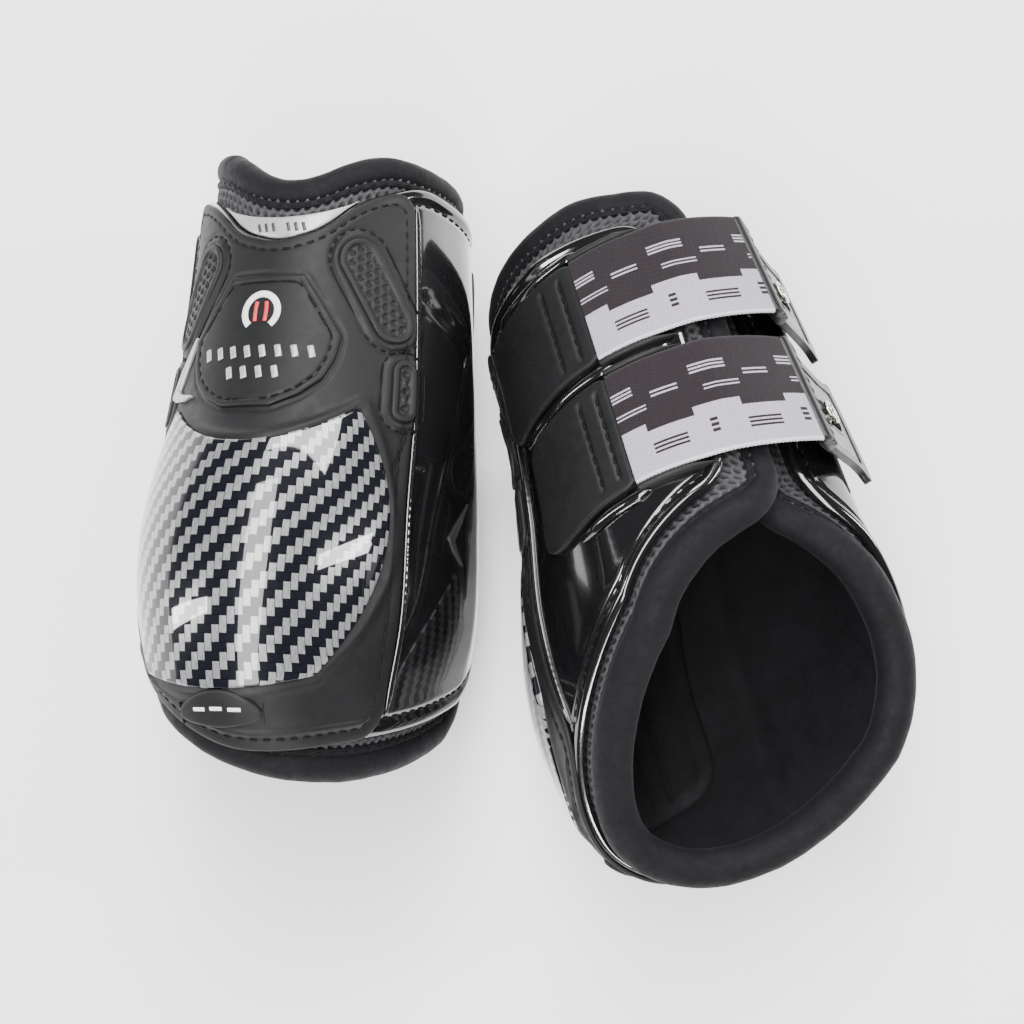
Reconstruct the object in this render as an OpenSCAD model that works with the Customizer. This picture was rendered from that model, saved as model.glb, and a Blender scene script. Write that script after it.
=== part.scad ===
// A pair of short cupped leg boots with two elastic straps each.
// Each boot is drawn standing on its leg axis: z runs up the leg, -y is the cupped
// back, +y the closure. Angle t goes round the leg: 0 at the back, +90 on the side
// that carries the strap anchors. Both boots are then laid down side by side.
// Lengths are millimetres.

/* [Boot] */
// Lowest back rim to the lowest point of the collar
boot_h = 168; // [150:1:190]
// Rise of the lower rim from back to front
rim_rise = 70; // [40:1:80]
// Collar edge above the base height at the sides
collar_rise = 20; // [4:1:24]
// Half width over the bulb of the cup
cup_half_w = 44.5; // [40:0.5:55]
// Depth of the cup behind the leg axis
cup_back = 74; // [60:0.5:85]

/* [Layers] */
// Outer moulding
shell_t = 2.2; // [1.5:0.1:3]
// Spacer mesh
mesh_t = 2.7; // [2:0.1:4]
// Foam liner
liner_t = 4.1; // [3:0.1:6]
// Matte back shield over the moulding
shield_t = 1.2; // [0.8:0.1:2]
// Half width of the rolled edge
roll_w = 4.3; // [3:0.1:6]
// Half thickness of the rolled edge
roll_t = 4.3; // [3:0.1:5]

/* [Closure] */
// Angle of the inner flap's moulded edge
flap_in = 147; // [135:1:150]
// Angle of the outer flap's moulded edge
flap_out = -178; // [-182:1:-165]
// Elastic width
strap_w = 36; // [30:1:40]
// Elastic thickness
strap_t = 1.4; // [1:0.1:2]
// Height of the upper strap on the leg axis
strap_up = 141.5; // [135:1:148]
// Height of the lower strap on the leg axis
strap_lo = 99.4; // [92:0.2:106]
// Angle where the straps leave their anchors
strap_t0 = 118; // [110:1:124]
// Angle of the studs
stud_at = -157; // [-165:1:-150]
// Stud head radius
head_r = 3.6; // [3:0.1:4.5]
// Pull tab thickness
tab_t = 2.2; // [1.8:0.1:3]

/* [Hidden] */
$fn = 40;

// Section sizes up the leg: half width, depth behind and depth in front of the axis
hz = [0, 20, 45, 75, 105, 135, 175];
half_w = [cup_half_w - 9.5, cup_half_w - 5, cup_half_w, cup_half_w, 42.7, 40.3, 37.5];
back_y = [cup_back - 19, cup_back - 3.5, cup_back, cup_back - 4, 55.5, 47.5, 45];
front_y = [40, 39, 37, 37.5, 40, 42, 43.5];

// Where each boot lies: turn about its own axis, tilt of the axis, heading, position
left_roll = 222.6;
left_tilt = -21.2;
left_head = 17.4;
left_pos = [79.3, -86.6, 100.5];
right_roll = -16.54;
right_tilt = 4.35;
right_head = -1.6;
right_pos = [-55.7, -79.2, 34.5];
origin_shift = [-2.585, -0.205, 4.634];

mm_per_deg = 0.7;
in_gap = 0.3;
shield_d = in_gap + shield_t;
mesh_d = -shell_t - 0.4;
liner_d = mesh_d - mesh_t - 0.1;
pad_d = liner_d - liner_t - 0.4;
strap_d = 0.9;
stud_lift = 0.3;
tab_lift = 1.6;

// Smooth curve through a column of the section table
function slope(v, i) = (v[min(i + 1, 6)] - v[max(i - 1, 0)]) / (hz[min(i + 1, 6)] - hz[max(i - 1, 0)]);
function seg(z, i = 0) = (i == 5 || z < hz[i + 1]) ? i : seg(z, i + 1);
function curve(v, z0) =
    let (z = min(max(z0, 0), 175), i = seg(z), h = hz[i + 1] - hz[i], s = (z - hz[i]) / h)
    (2*s*s*s - 3*s*s + 1)*v[i] + (s*s*s - 2*s*s + s)*h*slope(v, i)
    + (3*s*s - 2*s*s*s)*v[i + 1] + (s*s*s - s*s)*h*slope(v, i + 1);
function ease(x) = let (c = min(max(x, 0), 1)) c*c*(3 - 2*c);

// The inner flap rides outward and the outer flap tucks under it
function lap(t) = t > 0 ? 3*ease((t - 135)/30) : -7*ease((-150 - t)/40);

// Point on the boot at angle t, height z, d outside the moulding's surface
function at(t, z, d) =
    let (a = curve(half_w, z), f = cos(t) > 0, b = f ? curve(back_y, z) : curve(front_y, z),
        e = 0.05, da = (curve(half_w, z + e) - curve(half_w, z - e))/2/e,
        db = f ? (curve(back_y, z + e) - curve(back_y, z - e))/2/e
            : (curve(front_y, z + e) - curve(front_y, z - e))/2/e,
        n = [b*sin(t), -a*cos(t), -a*db*pow(cos(t), 2) - b*da*pow(sin(t), 2)])
    [a*sin(t), -b*cos(t), z] + n/norm(n)*(d + lap(t));
function away(t, z) = let (v = at(t, z, 1) - at(t, z, 0)) v/norm(v);

// Collar and lower rim of the liner, and the edges of the moulding inside them
function fold(t) = abs(t) > 180 ? 360 - abs(t) : abs(t);
function rim_top(t) = boot_h + collar_rise*lookup(t, [[-199, 0.1], [-180, 0.15], [-150, 0.35], [-120, 0.45],
    [-80, 0.49], [-50, 0.51], [-34, 0.34], [-15, 0.04], [0, 0], [15, 0.15], [34, 0.62], [50, 0.9], [80, 1],
    [120, 0.9], [150, 0.6], [167, 0.3]]);
rim_shape = [[-199, 1], [-180, 0.96], [-150, 0.67], [-120, 0.37], [-90, 0.14], [-60, 0.014], [-30, -0.028], [0, 0],
    [30, 0.13], [60, 0.37], [90, 0.63], [120, 0.81], [147, 0.907], [167, 0.943]];
function rim_low(t) = rim_rise*(lookup(t - 14, rim_shape) + lookup(t - 7, rim_shape) + lookup(t, rim_shape)
    + lookup(t + 7, rim_shape) + lookup(t + 14, rim_shape))/5;
function shell_top(t) = boot_h + lookup(t, [[-180, -12], [-147, -8], [-100, -1.5], [-61, 1.5], [-34, -6], [-18, -15.5],
    [0, -19], [18, -15.5], [34, -6], [61, 1.5], [100, 2], [147, -4], [180, -10]]);
function shell_low(t) = rim_low(t) + lookup(fold(t), [[0, 8], [45, 12], [147, 12], [180, 11]]);
function cut(s, r) = s >= r ? 0 : r - sqrt(max(0, r*r - (r - s)*(r - s)));

// Columns from t0 to t1, closer together at the rounded ends
function cols(t0, t1, n, r) = let (e = r/mm_per_deg)
    [t0, t0 + 0.12*e, t0 + 0.45*e, for (i = [0:n]) t0 + e + (t1 - t0 - 2*e)*i/n,
        t1 - 0.45*e, t1 - 0.12*e, t1];
function ends(t, t0, t1, r) = cut(min(t - t0, t1 - t)*mm_per_deg, r);

// Closed sheet between an outer and an inner grid of points
module sheet(outer, inner) {
    nv = len(outer);
    nu = len(outer[0]);
    n = nv*nu;
    pts = [for (r = outer) each r, for (r = inner) each r];
    faces = [
        for (j = [0:nv - 2]) for (i = [0:nu - 2]) let (a = j*nu + i, b = a + 1, c = b + nu, d = a + nu)
            each [[a, d, c], [a, c, b], [a + n, b + n, c + n], [a + n, c + n, d + n]],
        for (i = [0:nu - 2]) let (a = i, b = i + 1) each [[a, b, b + n], [a, b + n, a + n]],
        for (i = [0:nu - 2]) let (d = (nv - 1)*nu + i, c = d + 1) each [[c, d, d + n], [c, d + n, c + n]],
        for (j = [0:nv - 2]) let (a = j*nu, d = a + nu) each [[d, a, a + n], [d, a + n, d + n]],
        for (j = [0:nv - 2]) let (b = j*nu + nu - 1, c = b + nu) each [[b, c, c + n], [b, c + n, b + n]]
    ];
    polyhedron(pts, faces, convexity = 8);
}

// Grid over columns ts between heights lo and hi, d outside the surface
function grid(ts, lo, hi, n, d) = [for (j = [0:n]) [for (i = [0:len(ts) - 1])
    at(ts[i], lo[i] + (hi[i] - lo[i])*j/n, d)]];
module layer(ts, lo, hi, n, d1, d0) {
    sheet(grid(ts, lo, hi, n, d1), grid(ts, lo, hi, n, d0));
}

// Closed ring of the given section following points p with surface directions u
module ring(p, u, w, h, n) {
    m = len(p);
    pts = [for (k = [0:m - 1]) let (v = p[(k + 1)%m] - p[(k + m - 1)%m], s = cross(v/norm(v), u[k]), q = s/norm(s))
        for (i = [0:n - 1]) p[k] + u[k]*h*cos(360*i/n) + q*w*sin(360*i/n)];
    polyhedron(pts, [for (k = [0:m - 1]) for (i = [0:n - 1])
        let (a = k*n + i, b = k*n + (i + 1)%n, c = ((k + 1)%m)*n + (i + 1)%n, d = ((k + 1)%m)*n + i)
        each [[a, b, c], [a, c, d]]], convexity = 8);
}

// Loop of [t, z] round a patch, inset by m, corners rounded to r
function loop(t0, t1, m, r, n) = let (e = m/mm_per_deg, a = t0 + e, b = t1 - e, k = r/mm_per_deg)
    [for (i = [0:n]) [a + k + (b - a - 2*k)*i/n, 1, 0],
        for (g = [30, 60]) [b - k + k*sin(g), 1, r*(1 - cos(g))],
        for (i = [0:3]) [b, 2 + i, r],
        for (g = [60, 30]) [b - k + k*sin(g), 0, r*(1 - cos(g))],
        for (i = [n:-1:0]) [a + k + (b - a - 2*k)*i/n, 0, 0],
        for (g = [30, 60]) [a + k - k*sin(g), 0, r*(1 - cos(g))],
        for (i = [3:-1:0]) [a, 2 + i, r],
        for (g = [60, 30]) [a + k - k*sin(g), 1, r*(1 - cos(g))]];
function side(s, lo, hi, r) = hi - r - (hi - lo - 2*r)*(s - 2)/3;
function height(q, lo, hi, m) = q[1] == 1 ? hi - m - q[2] : q[1] == 0 ? lo + m + q[2] : side(q[1], lo + m, hi - m, q[2]);

// Liner, mesh, moulding and shield
back_t = -196;
front_t = 162;
shell_ts = cols(flap_out, flap_in, 32, 9);
lining_ts = cols(back_t, front_t, 31, 9);
module shell_form() {
    layer(shell_ts, [for (t = shell_ts) shell_low(t) + ends(t, flap_out, flap_in, 9)],
        [for (t = shell_ts) shell_top(t) - ends(t, flap_out, flap_in, 9)], 13, 0, -shell_t);
}
module lining_form(d1, d0) {
    layer(lining_ts, [for (t = lining_ts) rim_low(t) + 4 + ends(t, back_t, front_t, 9)],
        [for (t = lining_ts) rim_top(t) - 4 - ends(t, back_t, front_t, 9)], 11, d1, d0);
}
module roll_form() {
    q = loop(back_t - 3, front_t + 5, roll_w, 8, 24);
    z = [for (v = q) height(v, rim_low(v[0]), rim_top(v[0]), roll_w)];
    p = [for (i = [0:len(q) - 1]) at(q[i][0], z[i], (mesh_d + liner_d - liner_t)/2)];
    u = [for (i = [0:len(q) - 1]) away(q[i][0], z[i])];
    ring(p, u, roll_w, roll_t, 8);
}
module welt_form() {
    q = loop(flap_out, flap_in, 2.4, 7, 24);
    z = [for (v = q) height(v, shell_low(v[0]), shell_top(v[0]), 2.4)];
    p = [for (i = [0:len(q) - 1]) at(q[i][0], z[i], abs(q[i][0]) < 57 ? shield_d + 0.1 : 0.1)];
    u = [for (i = [0:len(q) - 1]) away(q[i][0], z[i])];
    ring(p, u, 0.5, 0.5, 3);
}
shield_ts = cols(-56, 56, 12, 8);
module shield_form() {
    layer(shield_ts, [for (t = shield_ts) shell_low(t) + 0.6 + ends(t, -56, 56, 8)],
        [for (t = shield_ts) shell_top(t) - 0.6 - ends(t, -56, 56, 8)], 13, shield_d, in_gap);
}
module pad_form() {
    ts = [for (t = [-42:10.5:42]) t];
    layer(ts, [for (t = ts) 20 + abs(t)/4], [for (t = ts) 104 - abs(t)/4], 6, pad_d, pad_d - 2.6);
}

// Hard dished plate over the bulb of the cup, with a raised middle
plate_d = shield_d + 0.35;
function plate_w(v) = lookup(v, [[0, 30], [0.15, 41], [0.4, 50], [0.6, 50], [0.85, 44], [1, 36]]);
function plate_pt(u, v, d) = let (t = u*plate_w(v), lo = 24.5 + 4*u*u, hi = 89 + 12*u*u)
    at(t, lo + (hi - lo)*v, d);
module plate_form() {
    sheet([for (j = [0:10]) [for (i = [-6:6]) let (u = i/6, v = j/10)
            plate_pt(u, v, plate_d + 0.9 + 1.4*(1 - pow(u, 4))*(1 - pow(2*v - 1, 4)))]],
        [for (j = [0:10]) [for (i = [-6:6]) plate_pt(i/6, j/10, plate_d)]]);
}
module plate_label_form() {
    ts = [for (t = [-16:4:16]) t];
    layer(ts, [for (t = ts) 15.5 + t*t/110], [for (t = ts) 24 - t*t/55], 2, plate_d + 0.8, plate_d);
}

// Seven-sided badge with an accent on its lower inner corner
module badge_form() {
    zs = [99.5, 103, 108, 114, 121, 130, 138.5];
    hw = [9, 18, 25, 28.5, 30, 22.5, 15];
    sheet([for (j = [0:6]) [for (i = [-5:5]) at(2.5 + hw[j]*i/5, zs[j], plate_d + 0.8)]],
        [for (j = [0:6]) [for (i = [-5:5]) at(2.5 + hw[j]*i/5, zs[j], plate_d)]]);
}
module accent_form() {
    zs = [105, 108, 112, 117, 122];
    lo = [26, 30.5, 34.5, 35, 33.8];
    hi = [42, 45, 43.5, 39.5, 35];
    sheet([for (j = [0:4]) [for (i = [0:3]) at(lo[j] + (hi[j] - lo[j])*i/3, zs[j], plate_d + 1)]],
        [for (j = [0:4]) [for (i = [0:3]) at(lo[j] + (hi[j] - lo[j])*i/3, zs[j], plate_d)]]);
}
module collar_label_form() {
    ts = [for (t = [-32:4:32]) t];
    layer(ts, [for (t = ts) shell_top(t) + 1.2], [for (t = ts) max(boot_h - 12 + t*t/200, shell_top(t) + 1.8)], 2,
        mesh_d + 1.5, mesh_d + 0.3);
}

// Capsule-shaped perforated panel with a raised frame
function pod_w(s, l, r) = abs(s) <= l ? r : r*sqrt(max(0.01, 1 - pow((abs(s) - l)/r, 2)));
module pod(t1, z1, t2, z2, r, dir, d1, d0) {
    dx = (t2 - t1)*0.75;
    dz = z2 - z1;
    half = norm([dx, dz])/2;
    e = [dx, dz]/2/half;
    stops = [-half - r, -half - 0.8*r, -half - 0.4*r, -half, -half/3, half/3, half, half + 0.4*r, half + 0.8*r,
        half + r];
    function spot(s, w, d) = let (x = e*s + [-e[1], e[0]]*w*dir)
        at(dir*((t1 + t2)/2 + x[0]/0.75), (z1 + z2)/2 + x[1], d);
    g = [for (d = [d1, d0]) [for (k = [-2:2]) [for (s = stops) spot(s, -k/2*pod_w(s, half, r), d)]]];
    sheet(g[0], g[1]);
}
module vent_pair_form(dir) {
    pod(33, 144, 46, 127, 6.2, dir, plate_d + 0.9, plate_d);
    pod(51.3, 113, 51.5, 102, 3.6, dir, plate_d + 0.9, plate_d);
}

// Anchor plate with a pocket rail above and below the start of the elastic
module anchor_form(z, t0) {
    ts = [t0, t0 + 1, t0 + 3.8, t0 + 8, for (i = [1:5]) t0 + 8 + (strap_t0 - 1.7 - t0 - 8)*i/5];
    half = strap_w/2 + 1.4;
    c = [for (t = ts) cut((t - t0)*mm_per_deg, 6)];
    layer(ts, [for (i = [0:8]) z - half + c[i]], [for (i = [0:8]) z + half - c[i]], 4, 2.3, 0.35);
    rail = [for (i = [0:3]) strap_t0 - 3 + (26 - 3)*i/3];
    for (s = [-1, 1])
        layer(rail, [for (t = rail) z + s*(half + 0.6) - 0.8], [for (t = rail) z + s*(half + 0.6) + 0.8], 1, 2.7, 0.35);
}

// Elastic from the anchor, over the flap's rolled edge, to the bar of the pull tab
bar_x = -17.5;
bar_r = 2.1;
bar_z = tab_lift - 0.3 + bar_r;
strap_free = 150;
function stud_n(z) = let (v = at(stud_at, z, 1) - at(stud_at, z, 0)) [v[0], v[1], 0]/norm([v[0], v[1]]);
function stud_x(z) = let (n = stud_n(z)) [-n[1], n[0], 0];
function bar_end(z) = at(stud_at, z, 0) + stud_x(z)*(bar_x - bar_r - 0.7) + stud_n(z)*bar_z;
function strap_mid(z, h) =
    let (t0 = strap_t0 + 0.4, a = at(strap_free, z + h, strap_d + strap_t/2 + 0.5), b = bar_end(z) + [0, 0, h],
        c = (a + b)/2 + away(strap_free, z)*2)
    [for (i = [0:6]) let (t = t0 + (strap_free - t0)*i/6) at(t, z + h, strap_d + strap_t/2 + 0.5*ease(i/6)),
        for (i = [1:6]) let (s = i/6) a*(1 - s)*(1 - s) + c*2*s*(1 - s) + b*s*s];
function strap_face(m, d) = [for (i = [0:12])
    let (v = m[min(i + 1, 12)] - m[max(i - 1, 0)], n = cross(v, [0, 0, 1])) m[i] + n/norm(n)*d];
module elastic_form(z) {
    rows = [for (k = [-1, 0, 1]) strap_mid(z, k*strap_w/2)];
    sheet([for (m = rows) strap_face(m, strap_t/2)], [for (m = rows) strap_face(m, -strap_t/2)]);
}

// Studs and tabs share a frame on each stud: x to the tab's tip, z away from the leg
module stud_frame(z) {
    s = at(stud_at, z, 0);
    n = stud_n(z);
    x = stud_x(z);
    multmatrix([[x[0], 0, n[0], s[0]], [x[1], 0, n[1], s[1]], [0, 1, 0, s[2]]]) children();
}
module stud_form(z) {
    stud_frame(z) rotate_extrude() polygon([[0, stud_lift], [5, stud_lift], [5, stud_lift + 0.5], [2.1, stud_lift + 0.7],
        [2.1, tab_lift + tab_t + 0.2], [head_r, tab_lift + tab_t + 0.4], [head_r, tab_lift + tab_t + 1.1],
        [head_r - 1, tab_lift + tab_t + 1.7], [0, tab_lift + tab_t + 1.9]]);
}
hole_a = -5.5;
hole_b = 8;
module tab_form(z) {
    stud_frame(z) difference() {
        union() {
            translate([bar_x, 0, bar_z]) rotate([90, 0, 0]) cylinder(r = bar_r, h = strap_w, center = true);
            translate([bar_x, -strap_w/2, tab_lift - 0.3]) cube([5.5, strap_w, 2*bar_r]);
            translate([0, 0, tab_lift]) linear_extrude(tab_t) polygon([[bar_x, -17.6], [-9, -17.2], [5, -15.4],
                [10, -15.8], [13.2, -17.8], [14.6, -17.2], [15.6, -13], [15.9, 0], [15.6, 13], [14.6, 17.2],
                [13.2, 17.8], [10, 15.8], [5, 15.4], [-9, 17.2], [bar_x, 17.6]]);
        }
        translate([0, 0, tab_lift - 1]) linear_extrude(6) hull() {
            translate([hole_a + head_r + 0.4, 0]) circle(head_r + 0.4);
            translate([hole_b - head_r - 0.4, 0]) circle(head_r + 0.4);
        }
        translate([-8, 0, tab_lift + tab_t - 0.5]) linear_extrude(3) polygon([[0, -14], [12, -12.6], [20, -13.2],
            [20, 13.2], [12, 12.6], [0, 14]]);
        for (x = [-15.6, -13.6]) translate([x - 0.4, -15, tab_lift + 2*bar_r - 0.6]) cube([0.8, 30, 2]);
    }
}

// Laid-down positions
module lay(pos, head, tilt, roll) {
    translate(origin_shift + pos) rotate([0, 0, head]) rotate([tilt - 90, 0, 0]) rotate([0, 0, roll]) children();
}
module left() {
    lay(left_pos, left_head, left_tilt, left_roll) children();
}
module right() {
    lay(right_pos, right_head, right_tilt, right_roll) mirror([1, 0, 0]) children();
}

matte = [0.2, 0.2, 0.21];
gloss = [0.05, 0.05, 0.055];
soft = [0.09, 0.09, 0.1];
silver = [0.75, 0.76, 0.78];
weave = [0.35, 0.36, 0.4];
grey = [0.6, 0.57, 0.63];

module r_shell() {
    color(gloss) right() shell_form();
}
module r_back_shield() {
    color(matte) right() shield_form();
}
module r_strike_plate() {
    color(weave) right() plate_form();
}
module r_plate_label() {
    color(matte) right() plate_label_form();
}
module r_badge() {
    color(matte) right() badge_form();
}
module r_badge_accent() {
    color(silver) right() accent_form();
}
module r_collar_label() {
    color(silver) right() collar_label_form();
}
module r_vents_inner() {
    color(matte) right() vent_pair_form(1);
}
module r_vents_outer() {
    color(matte) right() vent_pair_form(-1);
}
module r_air_mesh() {
    color(soft) right() lining_form(mesh_d, mesh_d - mesh_t);
}
module r_liner() {
    color(soft) right() lining_form(liner_d, liner_d - liner_t);
}
module r_edge_roll() {
    color(soft) right() roll_form();
}
module r_impact_pad() {
    color(soft) right() pad_form();
}
module r_edge_welt() {
    color(gloss) right() welt_form();
}
module r_anchor_upper() {
    color(matte) right() anchor_form(strap_up, 60);
}
module r_anchor_lower() {
    color(matte) right() anchor_form(strap_lo, 71);
}
module r_studs() {
    color(silver) right() { stud_form(strap_up); stud_form(strap_lo); }
}
module r_elastic_upper() {
    color(grey) right() elastic_form(strap_up);
}
module r_elastic_lower() {
    color(grey) right() elastic_form(strap_lo);
}
module r_tab_upper() {
    color(matte) right() tab_form(strap_up);
}
module r_tab_lower() {
    color(matte) right() tab_form(strap_lo);
}
module l_shell() {
    color(gloss) left() shell_form();
}
module l_back_shield() {
    color(matte) left() shield_form();
}
module l_strike_plate() {
    color(weave) left() plate_form();
}
module l_plate_label() {
    color(matte) left() plate_label_form();
}
module l_badge() {
    color(matte) left() badge_form();
}
module l_badge_accent() {
    color(silver) left() accent_form();
}
module l_collar_label() {
    color(silver) left() collar_label_form();
}
module l_vents_inner() {
    color(matte) left() vent_pair_form(1);
}
module l_vents_outer() {
    color(matte) left() vent_pair_form(-1);
}
module l_air_mesh() {
    color(soft) left() lining_form(mesh_d, mesh_d - mesh_t);
}
module l_liner() {
    color(soft) left() lining_form(liner_d, liner_d - liner_t);
}
module l_edge_roll() {
    color(soft) left() roll_form();
}
module l_impact_pad() {
    color(soft) left() pad_form();
}
module l_edge_welt() {
    color(gloss) left() welt_form();
}
module l_anchor_upper() {
    color(matte) left() anchor_form(strap_up, 60);
}
module l_anchor_lower() {
    color(matte) left() anchor_form(strap_lo, 71);
}
module l_studs() {
    color(silver) left() { stud_form(strap_up); stud_form(strap_lo); }
}
module l_elastic_upper() {
    color(grey) left() elastic_form(strap_up);
}
module l_elastic_lower() {
    color(grey) left() elastic_form(strap_lo);
}
module l_tab_upper() {
    color(matte) left() tab_form(strap_up);
}
module l_tab_lower() {
    color(matte) left() tab_form(strap_lo);
}

r_shell();
r_back_shield();
r_strike_plate();
r_plate_label();
r_badge();
r_badge_accent();
r_collar_label();
r_vents_inner();
r_vents_outer();
r_air_mesh();
r_liner();
r_edge_roll();
r_impact_pad();
r_edge_welt();
r_anchor_upper();
r_anchor_lower();
r_studs();
r_elastic_upper();
r_elastic_lower();
r_tab_upper();
r_tab_lower();
l_shell();
l_back_shield();
l_strike_plate();
l_plate_label();
l_badge();
l_badge_accent();
l_collar_label();
l_vents_inner();
l_vents_outer();
l_air_mesh();
l_liner();
l_edge_roll();
l_impact_pad();
l_edge_welt();
l_anchor_upper();
l_anchor_lower();
l_studs();
l_elastic_upper();
l_elastic_lower();
l_tab_upper();
l_tab_lower();
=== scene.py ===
import math
import bpy
import numpy as np
from mathutils import Matrix, Vector

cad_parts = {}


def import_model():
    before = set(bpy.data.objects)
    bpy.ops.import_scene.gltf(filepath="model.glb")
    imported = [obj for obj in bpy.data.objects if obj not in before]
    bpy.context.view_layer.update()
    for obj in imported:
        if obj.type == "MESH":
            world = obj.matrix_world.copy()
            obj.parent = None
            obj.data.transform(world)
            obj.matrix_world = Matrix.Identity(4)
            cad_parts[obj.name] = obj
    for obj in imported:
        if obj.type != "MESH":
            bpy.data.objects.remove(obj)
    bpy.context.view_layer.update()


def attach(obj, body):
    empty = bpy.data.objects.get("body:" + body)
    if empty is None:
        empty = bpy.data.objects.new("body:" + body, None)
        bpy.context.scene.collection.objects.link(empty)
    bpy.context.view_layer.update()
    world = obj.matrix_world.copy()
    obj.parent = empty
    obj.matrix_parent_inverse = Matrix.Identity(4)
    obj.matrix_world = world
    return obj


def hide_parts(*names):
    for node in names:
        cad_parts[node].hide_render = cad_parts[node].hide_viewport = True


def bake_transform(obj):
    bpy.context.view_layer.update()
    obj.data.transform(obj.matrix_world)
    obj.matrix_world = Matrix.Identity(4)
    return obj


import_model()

# ------------------------------------------------------------------ boot surface, millimetres
# t is the angle round the leg (0 back, +90 anchor side), z the height, d the offset outward.
HZ = np.array([0, 20, 45, 75, 105, 135, 175.0])
HALF_W = np.array([35, 39.5, 44.5, 44.5, 42.7, 40.3, 37.5])
BACK_Y = np.array([55, 70.5, 74, 70, 55.5, 47.5, 45.0])
FRONT_Y = np.array([40, 39, 37, 37.5, 40, 42, 43.5])
K = 0.7  # mm per degree round the leg
SHELL_T, MESH_D, MESH_T, LINER_T = 2.2, -2.6, 2.7, 4.1
LINER_D = MESH_D - MESH_T - 0.1
SHIELD_D = 1.5
PLATE_D = SHIELD_D + 0.35
FLAP_IN, FLAP_OUT, BACK_T, FRONT_T = 147.0, -178.0, -196.0, 162.0
ROLL_W, ROLL_T = 4.3, 4.3
STRAP_T0, STRAP_W, STRAP_T, STRAP_D, STRAP_FREE = 118.0, 36.0, 1.4, 0.9, 150.0
STRAPS = {"upper": 141.5, "lower": 99.4}
ANCHOR_T0 = {"upper": 60.0, "lower": 71.0}
ANCHOR_GROOVES = {"upper": (98.0, 106.5), "lower": (99.5, 107.5)}
STUD_AT, TAB_LIFT, TAB_T, BAR_X, BAR_R, HEAD_R = -157.0, 1.6, 2.2, -17.5, 2.1, 3.6
BAR_Z = TAB_LIFT - 0.3 + BAR_R
SHIFT = np.array([-2.585, -0.205, 4.634])  # brings the pair's box to the origin


def curve(v, z):
    z = np.clip(z, 0, 175)
    i = np.clip(np.searchsorted(HZ, z, side="right") - 1, 0, 5)
    lo, hi = np.maximum(np.arange(7) - 1, 0), np.minimum(np.arange(7) + 1, 6)
    m = (v[hi] - v[lo]) / (HZ[hi] - HZ[lo])
    h = HZ[i + 1] - HZ[i]
    s = (z - HZ[i]) / h
    return ((2*s**3 - 3*s**2 + 1)*v[i] + (s**3 - 2*s**2 + s)*h*m[i]
            + (3*s**2 - 2*s**3)*v[i + 1] + (s**3 - s**2)*h*m[i + 1])


def ease(x):
    c = np.clip(x, 0, 1)
    return c*c*(3 - 2*c)


def step(x, a, b):
    return ease((np.asarray(x, float) - a)/(b - a))


def lap(t):
    t = np.asarray(t, float)
    return np.where(t > 0, 3*ease((t - 135)/30), -7*ease((-150 - t)/40))


def at(t, z, d):
    t, z, d = np.broadcast_arrays(np.asarray(t, float), np.asarray(z, float), np.asarray(d, float))
    r = np.radians(t)
    f = np.cos(r) > 0
    a, b = curve(HALF_W, z), np.where(f, curve(BACK_Y, z), curve(FRONT_Y, z))
    e = 0.05
    da = (curve(HALF_W, z + e) - curve(HALF_W, z - e))/2/e
    db = np.where(f, curve(BACK_Y, z + e) - curve(BACK_Y, z - e),
                  curve(FRONT_Y, z + e) - curve(FRONT_Y, z - e))/2/e
    n = np.stack([b*np.sin(r), -a*np.cos(r), -a*db*np.cos(r)**2 - b*da*np.sin(r)**2], -1)
    n /= np.linalg.norm(n, axis=-1, keepdims=True)
    return np.stack([a*np.sin(r), -b*np.cos(r), z], -1) + n*(d + lap(t))[..., None]


def away(t, z):
    v = at(t, z, 1.0) - at(t, z, 0.0)
    return v/np.linalg.norm(v, axis=-1, keepdims=True)


def fold(t):
    t = np.abs(np.asarray(t, float))
    return np.where(t > 180, 360 - t, t)


# Rims of the lining as shares of their rise, and the moulding's top edge in mm, each by angle
RIM_T = [-199, -180, -150, -120, -90, -60, -30, 0, 30, 60, 90, 120, 147, 167]
RIM_Z = [1, .96, .67, .37, .14, .014, -.028, 0, .13, .37, .63, .81, .907, .943]
TOP_T = [-199, -180, -150, -120, -80, -50, -34, -15, 0, 15, 34, 50, 80, 120, 150, 167]
TOP_Z = [.05, .12, .35, .45, .49, .51, .34, .04, 0, .13, .48, .66, .8, .8, .5, .2]
SHELL_EDGE_T = [-180, -147, -100, -61, -34, -18, 0, 18, 34, 61, 100, 147, 180]
SHELL_Z = [-12, -8, -1.5, 1.5, -6, -15.5, -19, -15.5, -6, 1.5, 2, -4, -10]
BOOT_H, COLLAR_RISE, RIM_RISE = 168, 20, 70


def rim_top(t):
    return BOOT_H + COLLAR_RISE*np.interp(t, TOP_T, TOP_Z)


def rim_low(t):
    return RIM_RISE*sum(np.interp(np.asarray(t, float) + o, RIM_T, RIM_Z) for o in (-14, -7, 0, 7, 14))/5


def shell_top(t):
    return BOOT_H + np.interp(t, SHELL_EDGE_T, SHELL_Z)


def shell_low(t):
    return rim_low(t) + np.interp(fold(t), [0, 45, 147, 180], [8, 12, 12, 11])


def smooth_fn(fn, w=5.0):
    """fn with its corners rounded over w degrees."""
    return lambda t: sum(fn(np.asarray(t, float) + o) for o in np.linspace(-w, w, 7))/7


TOP, SHELL_TOP, SHELL_LOW = smooth_fn(rim_top, 7), smooth_fn(shell_top, 6), smooth_fn(shell_low, 6)


# ------------------------------------------------------------------ placing the two boots
def rot(axis, a):
    return np.array(Matrix.Rotation(math.radians(a), 3, axis))


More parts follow.
